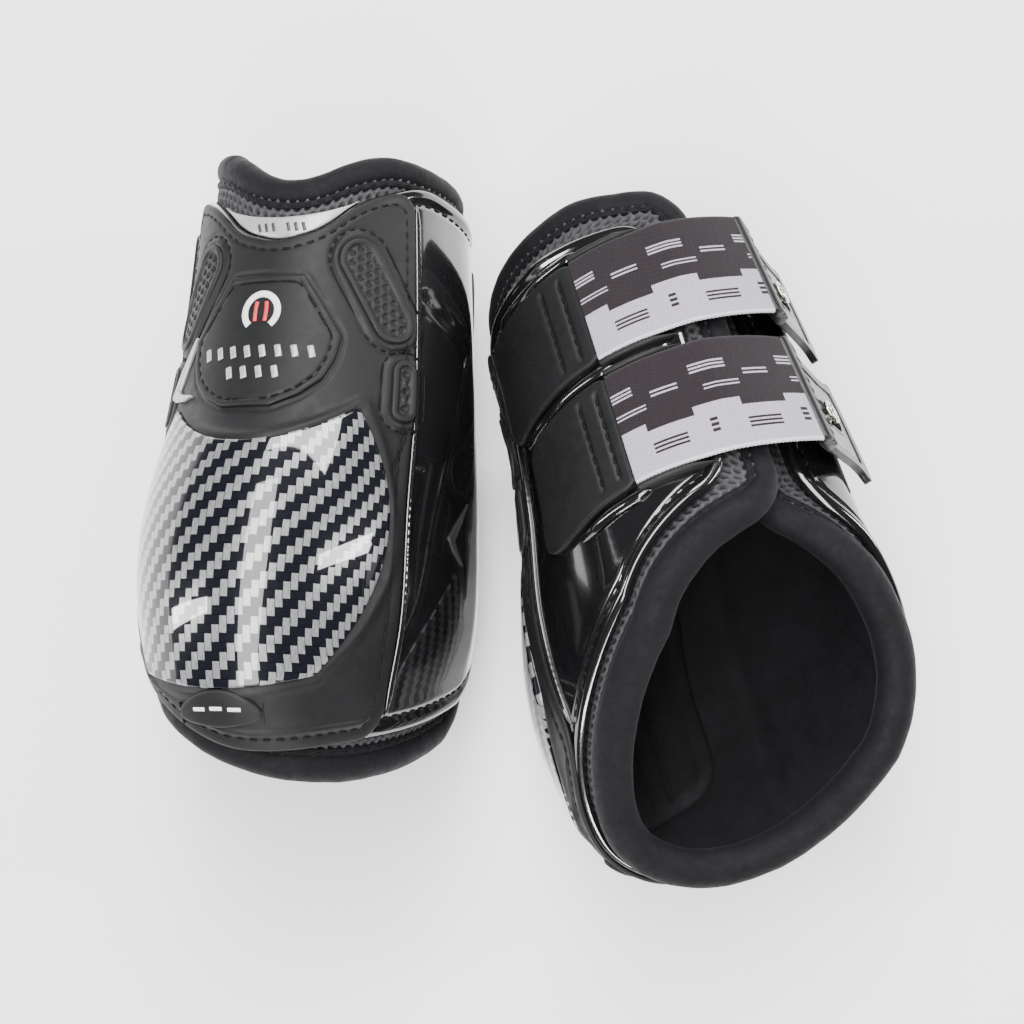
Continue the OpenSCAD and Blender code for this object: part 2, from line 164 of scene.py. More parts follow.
def pose(pos, head, tilt, roll, flip):
    m = rot("Z", head) @ rot("X", tilt - 90) @ rot("Z", roll)
    return m @ np.diag([-1 if flip else 1, 1, 1]), np.array(pos, float) + SHIFT


POSE = {"l": pose([79.3, -86.6, 100.5], 17.4, -21.2, 222.6, False),
        "r": pose([-55.7, -79.2, 34.5], -1.6, 4.35, -16.54, True)}
SIDE = {"l": "left", "r": "right"}


def world(p, side):
    m, o = POSE[side]
    return (np.asarray(p, float) @ m.T + o)/1000


# ------------------------------------------------------------------ mesh building
def build(name, side, verts, faces, mat, body, node=None, srf=None, mask=None):
    v = world(verts.reshape(-1, 3), side)
    if side == "r":
        faces = [f[::-1] for f in faces]
    me = bpy.data.meshes.new(name)
    me.from_pydata(v.tolist(), [], [list(map(int, f)) for f in faces])
    me.polygons.foreach_set("use_smooth", [True]*len(me.polygons))
    if srf is not None:
        a = me.attributes.new("srf", "FLOAT_VECTOR", "POINT")
        a.data.foreach_set("vector", (np.asarray(srf, np.float32)/1000).ravel())
    if mask is not None:
        a = me.attributes.new("mask", "FLOAT", "POINT")
        a.data.foreach_set("value", np.asarray(mask, np.float32).ravel())
    me.update()
    o = bpy.data.objects.new(name, me)
    bpy.context.collection.objects.link(o)
    me.materials.append(mat)
    if body:
        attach(o, body)
    if node:
        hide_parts(*([node] if isinstance(node, str) else node))
    return o


def quads(nv, nu, base=0, loop=False, flip=False):
    j, i = np.meshgrid(np.arange(nv - 1), np.arange(nu if loop else nu - 1), indexing="ij")
    a, b = j*nu + i, j*nu + (i + 1) % nu
    q = np.stack([a, b, b + nu, a + nu], -1).reshape(-1, 4) + base
    return q[:, ::-1] if flip else q


def slab(outer, inner, loop=False):
    """Closed sheet between two grids (rows, columns, 3); loop joins the last column to the first."""
    nv, nu = outer.shape[:2]
    n = nv*nu
    faces = [quads(nv, nu, 0, loop), quads(nv, nu, n, loop, True)]
    i = np.arange(nu if loop else nu - 1)
    k = (i + 1) % nu
    top = (nv - 1)*nu
    faces.append(np.stack([i, i + n, k + n, k], -1))
    faces.append(np.stack([top + i, top + k, top + k + n, top + i + n], -1))
    if not loop:
        j = np.arange(nv - 1)*nu
        faces.append(np.stack([j, j + nu, j + nu + n, j + n], -1))
        j = j + nu - 1
        faces.append(np.stack([j, j + n, j + nu + n, j + nu], -1))
    return np.concatenate([outer.reshape(-1, 3), inner.reshape(-1, 3)]), np.concatenate(faces).tolist()


def sheet(t, z, top, bottom, loop=False):
    """Closed sheet over a [t, z] grid between two offsets from the surface."""
    return slab(at(t, z, top), at(t, z, bottom), loop)


EDGE = np.array([0, .25, .6, 1.1, 1.8, 2.6, 3.2, 3.7, 4.2, 4.6, 5.0, 5.4, 5.8, 6.4, 7.2])


def spaced(length, n, edge):
    """Positions along a length: the edge offsets at both ends and n even steps between."""
    m = edge[-1]
    return np.concatenate([edge, np.linspace(m, length - m, n + 1)[1:-1], length - edge[::-1]])


def panel(t0, t1, lo, hi, r, nt, nz, edge=EDGE, k=K):
    """Grid over a patch with rounded corners: angles, heights and distance to the nearest edge."""
    t = t0 + spaced((t1 - t0)*k, nt, edge)/k
    s = np.minimum(t - t0, t1 - t)*k
    cut = np.where(s < r, r - np.sqrt(np.maximum(0, r*r - (r - np.minimum(s, r))**2)), 0)
    zl, zh = lo(t) + cut, hi(t) - cut
    rows = []
    f = spaced(100.0, nz, edge)
    for j, x in enumerate(f):
        m = len(edge)
        if j < m:
            rows.append(zl + x)
        elif j >= len(f) - m:
            rows.append(zh - (100 - x))
        else:
            rows.append(zl + edge[-1] + (zh - zl - 2*edge[-1])*(x - edge[-1])/(100 - 2*edge[-1]))
    z = np.array(rows)
    tt = np.broadcast_to(t, z.shape)
    es = np.broadcast_to(s, z.shape)
    et = np.minimum(z - lo(t), hi(t) - z)
    corner = (es < r) & (et < r)
    e = np.where(corner, r - np.hypot(r - np.minimum(es, r), r - np.minimum(et, r)), np.minimum(es, et))
    return tt, z, np.maximum(e, 0)


def rounded(e, r):
    """Fall of a rounded edge of radius r at distance e."""
    return np.where(e < r, np.sqrt(np.maximum(0, r*r - (r - np.minimum(e, r))**2)) - r, 0)


def loop_path(t0, t1, lo, hi, m, r, n=160, nc=8, ns=60):
    """Closed [t, z] loop round a patch, inset by m, with corners of radius r."""
    a, b, k = t0 + m/K, t1 - m/K, r/K
    g = np.radians(np.linspace(0, 90, nc + 2)[1:-1])
    line = np.linspace(a + k, b - k, n)
    f = np.linspace(0, 1, ns)

    def side(x):
        zt, zb = hi(np.array(x)) - m - r, lo(np.array(x)) + m + r
        return np.full(ns, x), zt + (zb - zt)*f
    tb, zb_ = side(b)
    ta, za_ = side(a)
    drop = r*(1 - np.cos(g))
    tc, td = b - k + k*np.sin(g), a + k - k*np.sin(g)
    t = [line, tc, tb, tc[::-1], line[::-1], td, ta[::-1], td[::-1]]
    z = [hi(line) - m, hi(tc) - m - drop, zb_, (lo(tc) + m + drop)[::-1], (lo(line) + m)[::-1],
         lo(td) + m + drop, za_[::-1], (hi(td) - m - drop)[::-1]]
    return np.concatenate(t), np.concatenate(z)


def runs_of(lengths):
    """Distance from the start at each point, from the lengths between points."""
    return np.concatenate([[0], np.cumsum(lengths)])


def resample(p, step_mm, closed=True):
    """Even steps along p: fractional indices, lengths from the start, and the total length."""
    q = np.vstack([p, p[:1]]) if closed else p
    d = runs_of(np.linalg.norm(np.diff(q, axis=0), axis=1))
    n = max(4, int(round(d[-1]/step_mm)))
    x = np.linspace(0, d[-1], n + 1)
    if closed:
        x = x[:-1]
    f = np.interp(x, d, np.arange(len(d)))
    return f, x, d[-1]


def pick(arr, f, closed=True):
    q = np.concatenate([arr, arr[:1]]) if closed else arr
    i = np.minimum(f.astype(int), len(q) - 2)
    w = f - i
    return q[i]*(1 - w) + q[i + 1]*w if q.ndim == 1 else q[i]*(1 - w)[:, None] + q[i + 1]*w[:, None]


def even_loop(t0, t1, lo, hi, m, r, step_mm, d=0.0):
    t, z = loop_path(t0, t1, lo, hi, m, r)
    f, x, total = resample(at(t, z, d), step_mm)
    return pick(t, f), pick(z, f), x, total


def tube(p, u, w, h, n=16, closed=True, prof=None):
    """Swept ring: p points, u outward directions, w half width along the surface, h half height."""
    if closed:
        v = np.roll(p, -1, 0) - np.roll(p, 1, 0)
    else:
        v = np.gradient(p, axis=0)
    v /= np.linalg.norm(v, axis=1, keepdims=True)
    s = np.cross(v, u)
    s /= np.linalg.norm(s, axis=1, keepdims=True)
    a = np.linspace(0, 2*np.pi, n, endpoint=False)
    w, h = np.broadcast_to(w, len(p)), np.broadcast_to(h, len(p))
    f = np.ones((len(p), n)) if prof is None else prof
    pts = (p[:, None] + u[:, None]*(h[:, None]*np.cos(a)*f)[..., None]
           + s[:, None]*(w[:, None]*np.sin(a)*f)[..., None])
    m = len(p)
    i = np.arange(m if closed else m - 1)
    faces = []
    for k in range(n):
        k2 = (k + 1) % n
        j = (i + 1) % m
        faces.append(np.stack([i*n + k, i*n + k2, j*n + k2, j*n + k], -1))
    faces = np.concatenate(faces).tolist()
    if not closed:
        faces += [list(range(n))[::-1], [(m - 1)*n + k for k in range(n)]]
    return pts.reshape(-1, 3), faces


def cord(t, z, d, w, h, n):
    """Open tube along [t, z] at offset d, w half width and h half height."""
    return tube(at(t, z, d), away(t, z), w, h, n, False)


def stitches(t, z, d, length=2.7, gap=1.3, r=0.36, closed=True, sink=0.25):
    """A row of thread stitches along [t, z]: each dips into the surface at both ends."""
    p = at(t, z, d)
    f = resample(p, length + gap, closed)[0]
    verts, faces = [], []
    n, m = 6, 6
    steps = np.linspace(-0.5, 0.5, m)
    pitch = f[1] - f[0] if len(f) > 1 else 1
    share = length/(length + gap)
    for c in f[:-1] if not closed else f:
        q = np.clip(c + pitch*(steps*share + 0.5), 0, len(p) - (0 if closed else 1.001))
        if closed:
            q = q % len(p)
        qt, qz = pick(t, q, closed), pick(z, q, closed)
        if closed and qt.max() - qt.min() > 180:
            continue
        lift = sink*(1 - (2*steps)**4) - sink*0.6
        pp = at(qt, qz, d + lift)
        uu = away(qt, qz)
        rr = r*(1 - 0.55*np.abs(2*steps)**5)
        vv, ff = tube(pp, uu, rr, rr*0.85, n, False)
        faces += [[a + len(verts)*m*n for a in face] for face in ff]
        verts.append(vv)
    return np.concatenate(verts), faces


def merge(parts):
    verts, faces, k = [], [], 0
    for v, f in parts:
        verts.append(v)
        faces += [[a + k for a in face] for face in f]
        k += len(v)
    return np.concatenate(verts), faces


def edge_distance(s, z, p0, p1):
    """Distance from each point to the straight edge from p0 to p1."""
    ex, ey = p1[0] - p0[0], p1[1] - p0[1]
    h = np.clip(((s - p0[0])*ex + (z - p0[1])*ey)/(ex*ex + ey*ey + 1e-12), 0, 1)
    return np.hypot(s - p0[0] - ex*h, z - p0[1] - ey*h)


def outline_distance(s, z, poly):
    """Signed distance to a closed polygon, negative inside."""
    p = np.asarray(poly, float)
    d = np.full(s.shape, 1e9)
    inside = np.zeros(s.shape, bool)
    for (x0, y0), (x1, y1) in zip(p, np.roll(p, -1, 0)):
        ex, ey = x1 - x0, y1 - y0
        d = np.minimum(d, edge_distance(s, z, (x0, y0), (x1, y1)))
        cross = ((y0 <= z) != (y1 <= z)) & (s < x0 + (z - y0)*ex/(ey if abs(ey) > 1e-9 else 1e-9))
        inside ^= cross
    return np.where(inside, -d, d)


def line_distance(s, z, pts):
    return np.min([edge_distance(s, z, a, b) for a, b in zip(pts[:-1], pts[1:])], axis=0)


def gauss(x, w):
    return np.exp(-(x/w)**2)


def round_poly(pts, r, n=5):
    """Polygon with its corners cut by small arcs."""
    p = np.asarray(pts, float)
    out = []
    for i in range(len(p)):
        a, b, c = p[i - 1], p[i], p[(i + 1) % len(p)]
        u, v = a - b, c - b
        k = min(r, 0.45*np.linalg.norm(u), 0.45*np.linalg.norm(v))
        u, v = b + u/np.linalg.norm(u)*k, b + v/np.linalg.norm(v)*k
        for x in np.linspace(0, 1, n):
            out.append((1 - x)**2*u + 2*x*(1 - x)*b + x*x*v)
    return np.array(out)


# ------------------------------------------------------------------ materials
def node(nt, kind, inputs=(), **props):
    n = nt.nodes.new(kind)
    for k, v in props.items():
        setattr(n, k, v)
    for k, v in inputs:
        n.inputs[k].default_value = v
    return n


class Maker:
    """A procedural material on one Principled shader, with short names for its maths."""

    def __init__(self, name, **sockets):
        self.m = bpy.data.materials.new(name)
        self.m.use_nodes = True
        self.nt = self.m.node_tree
        self.b = self.nt.nodes["Principled BSDF"]
        for k, v in sockets.items():
            self.b.inputs[k.replace("_", " ")].default_value = v

    def link(self, a, b):
        self.nt.links.new(a, b)

    def math(self, op, a, b=0.0):
        n = node(self.nt, "ShaderNodeMath", operation=op)
        for k, v in enumerate((a, b)):
            if hasattr(v, "is_linked"):
                self.link(v, n.inputs[k])
            else:
                n.inputs[k].default_value = v
        return n.outputs[0]

    def mul(self, a, b):
        return self.math("MULTIPLY", a, b)

    def add(self, a, b):
        return self.math("ADD", a, b)

    def sub(self, a, b):
        return self.math("SUBTRACT", a, b)

    def obj(self):
        return node(self.nt, "ShaderNodeTexCoord").outputs["Object"]

    def srf(self):
        a = node(self.nt, "ShaderNodeAttribute", attribute_name="srf")
        x = node(self.nt, "ShaderNodeSeparateXYZ")
        self.link(a.outputs["Vector"], x.inputs[0])
        return a.outputs["Vector"], x.outputs[0], x.outputs[1]

    def mask(self):
        return node(self.nt, "ShaderNodeAttribute", attribute_name="mask").outputs["Fac"]

    def noise(self, scale, detail=3.0, vec=None, rough=0.5):
        values = (("Scale", scale), ("Detail", detail), ("Roughness", rough))
        n = node(self.nt, "ShaderNodeTexNoise", values)
        self.link(vec or self.obj(), n.inputs["Vector"])
        return n.outputs["Fac"]

    def voronoi(self, scale, vec=None):
        n = node(self.nt, "ShaderNodeTexVoronoi", [("Scale", scale)], feature="F1")
        self.link(vec or self.obj(), n.inputs["Vector"])
        return n.outputs["Distance"]

    def stretch(self, x, y, z, vec=None):
        n = node(self.nt, "ShaderNodeMapping", [("Scale", (x, y, z))])
        self.link(vec or self.obj(), n.inputs["Vector"])
        return n.outputs[0]

    def ramp(self, fac, stops):
        n = node(self.nt, "ShaderNodeValToRGB")
        e = n.color_ramp.elements
        while len(e) < len(stops):
            e.new(0.5)
        for k, (p, c) in enumerate(stops):
            e[k].position = p
            e[k].color = (*c, 1) if len(c) == 3 else c
        self.link(fac, n.inputs[0])
        return n.outputs[0]

    def mix(self, fac, a, b):
        n = node(self.nt, "ShaderNodeMix", data_type="RGBA")
        for k, v in ((0, fac), (6, a), (7, b)):
            if hasattr(v, "is_linked"):
                self.link(v, n.inputs[k])
            else:
                n.inputs[k].default_value = v if k == 0 else (*v, 1)
        return n.outputs[2]

    def color(self, socket):
        self.link(socket, self.b.inputs["Base Color"])
        return self

    def rough(self, fac, lo, hi):
        self.link(self.ramp(fac, [(0.3, (lo,)*3), (0.7, (hi,)*3)]), self.b.inputs["Roughness"])
        return self

    def bump(self, height, distance, strength=1.0, socket="Normal"):
        n = node(self.nt, "ShaderNodeBump", [("Distance", distance), ("Strength", strength)])
        self.link(height, n.inputs["Height"])
        old = self.b.inputs[socket].links
        if old:
            self.link(old[0].from_socket, n.inputs["Normal"])
        self.link(n.outputs[0], self.b.inputs[socket])
        return self


def make_gloss(name="gloss_tpu", base=0.004, rough=(0.10, 0.17)):
    k = Maker(name, Coat_Weight=1.0, Coat_Roughness=0.035, Specular_IOR_Level=0.55)
    lo, hi = (base*0.85, base*0.85, base), (base*1.3, base*1.3, base*1.45)
    k.color(k.ramp(k.noise(70, 4), [(0.3, lo), (0.7, hi)]))
    k.rough(k.noise(900, 4, k.stretch(1, 6, 1)), *rough)
    k.bump(k.noise(40, 2), 0.0003, 0.15)
    return k.bump(k.noise(1400, 2), 0.00002, 0.25).m


def make_matte(name="matte_tpu", base=(0.0068, 0.0070, 0.0075), rough=(0.44, 0.56)):
    k = Maker(name, Specular_IOR_Level=0.22)
    lo, hi = [c*0.86 for c in base], [c*1.12 for c in base]
    k.color(k.ramp(k.noise(55, 5, rough=0.6), [(0.3, lo), (0.7, hi)]))
    k.rough(k.noise(300, 4), *rough)
    k.bump(k.voronoi(2600), 0.00006, 0.35)
    return k.bump(k.noise(1300, 3), 0.00005, 0.3).m


def make_weave():
    """Twill of light upright floats two cells long and dark level floats two cells wide."""
    k = Maker("carbon_weave", Coat_Weight=1.0, Coat_Roughness=0.03, Specular_IOR_Level=0.6)
    v, x, y = k.srf()
    w, h = 0.00195, 0.00225
    u, t = k.add(k.math("DIVIDE", x, w), 400.0), k.add(k.math("DIVIDE", y, h), 400.0)
    iu, it = k.math("FLOOR", u), k.math("FLOOR", t)
    fu, ft = k.math("FRACT", u), k.math("FRACT", t)
    ph = k.math("MODULO", k.add(k.sub(it, iu), 800.0), 4.0)
    light = k.math("LESS_THAN", ph, 1.5)
    # light floats: rows 0 and 1 of the phase; along = place on the float from 0 to 2
    al = k.add(ph, ft)
    el = k.math("GREATER_THAN", k.math("MINIMUM", fu, k.sub(1.0, fu)), 0.04)
    ee = k.math("GREATER_THAN", k.math("MINIMUM", al, k.sub(2.0, al)), 0.07)
    lm = k.mul(el, ee)
    # dark floats: phases 2 and 3, the float runs sideways over two columns
    ad = k.add(k.sub(3.0, ph), fu)

    def inside(x, length):
        """1 along a float and a short fade to 0 at both its ends."""
        start, end = k.mul(x, 9.0), k.mul(k.sub(length, x), 9.0)
        return k.mul(k.math("MINIMUM", start, 1.0), k.math("MINIMUM", end, 1.0))
    dm = k.mul(inside(ft, 1.0), inside(ad, 2.0))
    grain_l = k.noise(900, 3, k.stretch(5, 0.6, 1, v))
    grain_d = k.noise(900, 3, k.stretch(0.6, 5, 1, v))
    cl = k.ramp(grain_l, [(0.25, (0.12, 0.122, 0.127)), (0.75, (0.27, 0.27, 0.278))])
    cd = k.ramp(grain_d, [(0.25, (0.002, 0.0022, 0.0036)), (0.75, (0.006, 0.0065, 0.011))])
    gap = (0.0015, 0.0015, 0.002)
    k.color(k.mix(light, k.mix(dm, gap, cd), k.mix(lm, gap, cl)))
    k.link(k.mul(light, 0.35), k.b.inputs["Metallic"])
    k.link(k.add(k.mul(light, 0.5), 0.04), k.b.inputs["Specular IOR Level"])
    k.rough(grain_l, 0.26, 0.42)
    height = k.add(k.mul(light, lm), k.mul(k.sub(1.0, light), k.mul(dm, 0.7)))
    k.bump(height, 0.00008, 0.5)
    return k.bump(k.noise(60, 2), 0.00015, 0.06, "Coat Normal").m


def make_print(name, base, rough=(0.3, 0.42), metal=0.0):
    k = Maker(name, Metallic=metal, Specular_IOR_Level=0.5)
    k.color(k.ramp(k.noise(240, 4), [(0.3, [c*0.86 for c in base]), (0.7, base)]))
    k.rough(k.noise(700, 3), *rough)
    return k.bump(k.noise(1500, 2), 0.00003, 0.25).m


def make_neoprene():
    """Foam faced with fine jersey: rows of small loops, soft sheen and a little lint."""
    k = Maker("neoprene", Sheen_Weight=0.05, Sheen_Roughness=0.4, Specular_IOR_Level=0.16)
    k.b.inputs["Sheen Tint"].default_value = (0.6, 0.62, 0.68, 1)
    lo, hi = (0.0022, 0.0022, 0.0028), (0.0048, 0.0048, 0.006)
    k.color(k.ramp(k.noise(120, 5, rough=0.65), [(0.3, lo), (0.72, hi)]))
    k.rough(k.noise(500, 3), 0.62, 0.8)
    k.bump(k.voronoi(2300, k.stretch(1, 1, 0.55)), 0.00012, 0.4)
    return k.bump(k.noise(160, 4), 0.0003, 0.16).m


def make_air_mesh():
    k = Maker("air_mesh", Sheen_Weight=0.05, Sheen_Roughness=0.4, Specular_IOR_Level=0.35)
    hole = k.mask()
    web = k.ramp(k.noise(900, 3), [(0.3, (0.018, 0.018, 0.020)), (0.7, (0.045, 0.046, 0.050))])
    # painted shade: the eyelets are only shallow dents, so under the hole mask the colour drops to near black
    # for the shade inside real openings
    k.color(k.mix(hole, web, (0.0012, 0.0012, 0.0014)))
    k.rough(k.noise(600, 3), 0.5, 0.72)
    x, y = k.srf()[1:]
    rib = k.math("SINE", k.mul(k.add(x, y), 15000.0))
    k.bump(rib, 0.00006, 0.5)
    return k.bump(k.noise(2200, 3), 0.00008, 0.5).m


def make_elastic():
    """Woven band: a dark field over a pale one, stepped join, fine stripes; ribs and crossing threads."""
    k = Maker("elastic_web", Sheen_Weight=0.06, Sheen_Roughness=0.5, Specular_IOR_Level=0.2)
    v, x, y = k.srf()
    mm = 1000.0
    tile = k.math("MODULO", k.add(k.mul(x, mm), 240.0), 26.0)
    yy = k.mul(y, mm)

    def between(s, a, b):
        return k.mul(k.math("GREATER_THAN", s, a), k.math("LESS_THAN", s, b))

    def lines(s, start, pitch, width, count):
        m = k.math("MODULO", k.sub(s, start - 50*pitch), pitch)
        return k.mul(k.math("LESS_THAN", m, width), between(s, start, start + pitch*(count - 1) + width))
    first = between(tile, 0.0, 13.0)
    join = k.add(-5.2, k.mul(first, 2.6))
    pale = k.math("LESS_THAN", yy, join)
    up = k.mul(lines(yy, 7.6, 1.15, 0.6, 3), between(tile, 2.0, 12.0))
    up2 = k.mul(lines(yy, 1.6, 1.15, 0.5, 2), between(tile, 4.5, 14.5))
    up3 = k.mul(lines(yy, 4.6, 1.3, 0.6, 2), between(tile, 16.5, 24.0))
    down = k.mul(lines(yy, -12.6, 1.3, 0.7, 3), between(tile, 13.5, 23.0))
    tick = k.mul(lines(yy, -11.8, 1.7, 1.0, 3), between(tile, 3.5, 5.6))
    lit = k.math("MAXIMUM", k.math("MAXIMUM", up, up2), up3)
    drk = k.math("MAXIMUM", down, tick)
    fac = k.add(k.mul(pale, k.sub(1.0, drk)),
                 k.mul(k.sub(1.0, pale), lit))
    edge = k.math("GREATER_THAN", k.math("ABSOLUTE", yy), 17.2)
    rib = k.math("SINE", k.mul(k.add(x, k.mul(y, 0.5)), 2*math.pi/0.00062))
    cross = k.math("SINE", k.mul(k.sub(y, k.mul(x, 0.35)), 2*math.pi/0.00078))
    thread = k.mul(k.add(k.mul(rib, cross), 1.0), 0.5)
    fuzz = k.noise(1600, 4, v)
    shade = k.add(k.mul(thread, 0.6), k.mul(fuzz, 0.4))
    dark = k.ramp(shade, [(0.25, (0.0035, 0.002, 0.003)), (0.75, (0.017, 0.011, 0.0145))])
    light = k.ramp(shade, [(0.2, (0.22, 0.20, 0.245)), (0.75, (0.44, 0.41, 0.47))])
    k.color(k.mix(edge, k.mix(fac, dark, light), k.mix(pale, (0.02, 0.016, 0.02), (0.52, 0.5, 0.54))))
    k.b.inputs["Roughness"].default_value = 0.78
    k.bump(thread, 0.00022, 0.75)
    return k.bump(fuzz, 0.00015, 0.45).m


def make_thread():
    k = Maker("thread", Specular_IOR_Level=0.12)
    k.color(k.ramp(k.noise(900, 3), [(0.3, (0.002, 0.002, 0.0025)), (0.7, (0.007, 0.007, 0.008))]))
    k.rough(k.noise(900, 3), 0.4, 0.6)
    return k.bump(k.noise(2600, 3), 0.00012, 0.5).m


def make_metal():
    k = Maker("stud_metal", Metallic=1.0)
    k.color(k.ramp(k.noise(500, 4), [(0.3, (0.50, 0.47, 0.41)), (0.7, (0.80, 0.77, 0.70))]))
    k.rough(k.noise(1100, 4), 0.14, 0.32)
    return k.bump(k.noise(2400, 3), 0.00004, 0.4).m


def make_rubber(name="tab_rubber", base=0.0055, rough=(0.28, 0.38)):
    k = Maker(name, Specular_IOR_Level=0.3, Coat_Weight=0.05, Coat_Roughness=0.3)
    k.color(k.ramp(k.noise(90, 4), [(0.3, (base*0.85,)*3), (0.7, (base*1.2, base*1.22, base*1.3))]))
    k.rough(k.noise(500, 4), *rough)
    k.bump(k.noise(45, 2), 0.0004, 0.15)
    return k.bump(k.noise(1700, 3), 0.00004, 0.3).m


GLOSS, MATTE, WEAVE = make_gloss(), make_matte(), make_weave()
SILVER = make_print("silver_print", (0.40, 0.405, 0.415), (0.3, 0.4), 0.35)
WHITE = make_print("white_print", (0.74, 0.74, 0.74))
RED = make_print("red_print", (0.55, 0.035, 0.035))
INK = make_print("dark_print", (0.03, 0.03, 0.033))
NEO, MESHM, ELAST = make_neoprene(), make_air_mesh(), make_elastic()
THREAD, METAL, RUBBER = make_thread(), make_metal(), make_rubber()
TABGLOSS = make_rubber("tab_gloss", 0.004, (0.2, 0.28))
PANELM = make_matte("vent_matte", (0.009, 0.0092, 0.0098), (0.42, 0.55))


# ------------------------------------------------------------------ pieces of one boot
BADGE_Z = np.array([99.5, 103, 108, 114, 121, 130, 138.5])
BADGE_W = np.array([9, 18, 25, 28.5, 30, 22.5, 15])
BADGE_T = 2.5
BADGE_K, POD_K = 0.72, 0.75  # mm per degree at the badge and at the vents
SHIELD_AT = 56
PODS = [((33, 144), (46, 127), 6.2), ((51.3, 113), (51.5, 102), 3.6)]


def shield_low(t):
    return SHELL_LOW(t) + 0.6


def shield_top(t):
    return SHELL_TOP(t) - 0.6


def plate_w(v):
    return sum(np.interp(np.clip(v + o, 0, 1), [0, .15, .4, .6, .85, 1], [30, 41, 50, 50, 44, 36])
               for o in np.linspace(-.06, .06, 5))/5


def plate_tz(u, v):
    lo, hi = 24.5 + 4*u*u, 89 + 12*u*u
    return u*plate_w(v), lo + (hi - lo)*v


def plate_outline(n=24):
    f = np.linspace(-1, 1, n)
    g = np.linspace(0, 1, n)
    zero, one = np.zeros(n), np.ones(n)
    parts = [plate_tz(f, zero), plate_tz(one, g), plate_tz(f[::-1], one), plate_tz(-one, g[::-1])]
    return np.concatenate([np.stack(p, -1)[:-1] for p in parts])


def capsule(c0, c1, r, n=10):
    """Outline of a capsule between two [t, z] centres, radius r mm, as [t, z]."""
    a = np.array([c0[0]*POD_K, c0[1]])
    b = np.array([c1[0]*POD_K, c1[1]])
    e = (b - a)/np.linalg.norm(b - a)
    f = np.array([-e[1], e[0]])
    g = np.linspace(-np.pi/2, np.pi/2, n)
    arc = [r*(e*math.cos(x) + f*math.sin(x)) for x in g]
    p = [b + q for q in arc] + [a - q for q in arc]
    return np.array([[q[0]/POD_K, q[1]] for q in p])


def raise_pods(t, z):
    """Lift of the shield's rim round each vent."""
    d = np.zeros(t.shape)
    for c0, c1, r in PODS:
        for sgn in (1, -1):
            poly = capsule((c0[0]*sgn, c0[1]), (c1[0]*sgn, c1[1]), r)
            sd = outline_distance(t*POD_K, z, poly*[POD_K, 1])
            d += 0.55*gauss(sd - 0.9, 1.0) - 0.35*gauss(sd - 2.7, 0.55)
    return d


V_LINE = [(46, 120), (52.5, 118), (54, 104), (53.5, 94), (50, 84)]


def badge_poly():
    right, left = np.stack([BADGE_T + BADGE_W, BADGE_Z], -1), np.stack([BADGE_T - BADGE_W, BADGE_Z], -1)
    return np.concatenate([right, left[::-1]])


def draw_liner(add):
    """Soft foam sheet with a seam each side of the pad."""
    t, z, e = panel(BACK_T, FRONT_T, lambda a: rim_low(a) + 4, lambda a: TOP(a) - 4, 9, 150, 64,
                    np.array([0, 1, 2.5, 5.0]))
    soft = 0.35*np.sin(t*0.11 + z*0.05)*np.sin(z*0.09 - t*0.04) + 0.18*np.sin(t*0.31 - z*0.21)
    seam = sum(gauss((np.abs(t) - a)*K, 1.1) for a in (60, 128))
    fade = step(e, 2, 9)
    inner = LINER_D - LINER_T + (soft*0.6 + 0.8*seam)*fade
    add("liner", sheet(t, z, LINER_D, inner), NEO, ["liner"], "neoprene")


def draw_impact_pad(add):
    """Pad under the liner's face, quilted into lengthwise channels."""
    t, z, e = panel(-44, 44, lambda a: 19 + np.abs(a)/4, lambda a: 105 - np.abs(a)/4, 9, 70, 70,
                    np.array([0, .4, 1, 2, 3.2, 4.5]), 0.85)
    q = 0.9*gauss(((t*0.85 + 400) % 11) - 5.5, 0.9)*step(e, 3, 6)
    out = LINER_D - LINER_T - 0.55
    inn = out - 0.35 - 2.1*np.sqrt(np.clip(e/5, 0, 1)) + q
    o = add("impact_pad", sheet(t, z, out, inn), NEO, ["impact_pad"], "gel_pad")


def draw_edge_roll(add):
    """Rolled edge with its sewn seam."""
    lt, lz, x, total = even_loop(BACK_T - 3, FRONT_T + 5, rim_low, TOP, ROLL_W, 8, 0.95, MESH_D - 3.45)
    c = at(lt, lz, MESH_D - 3.45)
    u = away(lt, lz)
    n = 30
    ang = np.linspace(0, 2*np.pi, n, endpoint=False)
    w = 1 + 0.26*(1 - step(lz, 56, 76)) + 0.009*np.sin(x*2*np.pi*round(total/17)/total)
    w = w + 0.006*np.sin(x*2*np.pi*round(total/7.3)/total + 1)
    prof = w[:, None]*(1 - 0.09*gauss(ang - 0.95, 0.13)[None] - 0.06*gauss(ang - 2.3, 0.16)[None])
    ripple = 0.012*np.sin(x[:, None]*2*np.pi*round(total/3.1)/total + 3*ang[None])*gauss(ang - 1.3, 0.6)[None]
    add("edge_roll", tube(c, u, ROLL_W, ROLL_T, n, True, prof + ripple), NEO, ["edge_roll"], "neoprene")


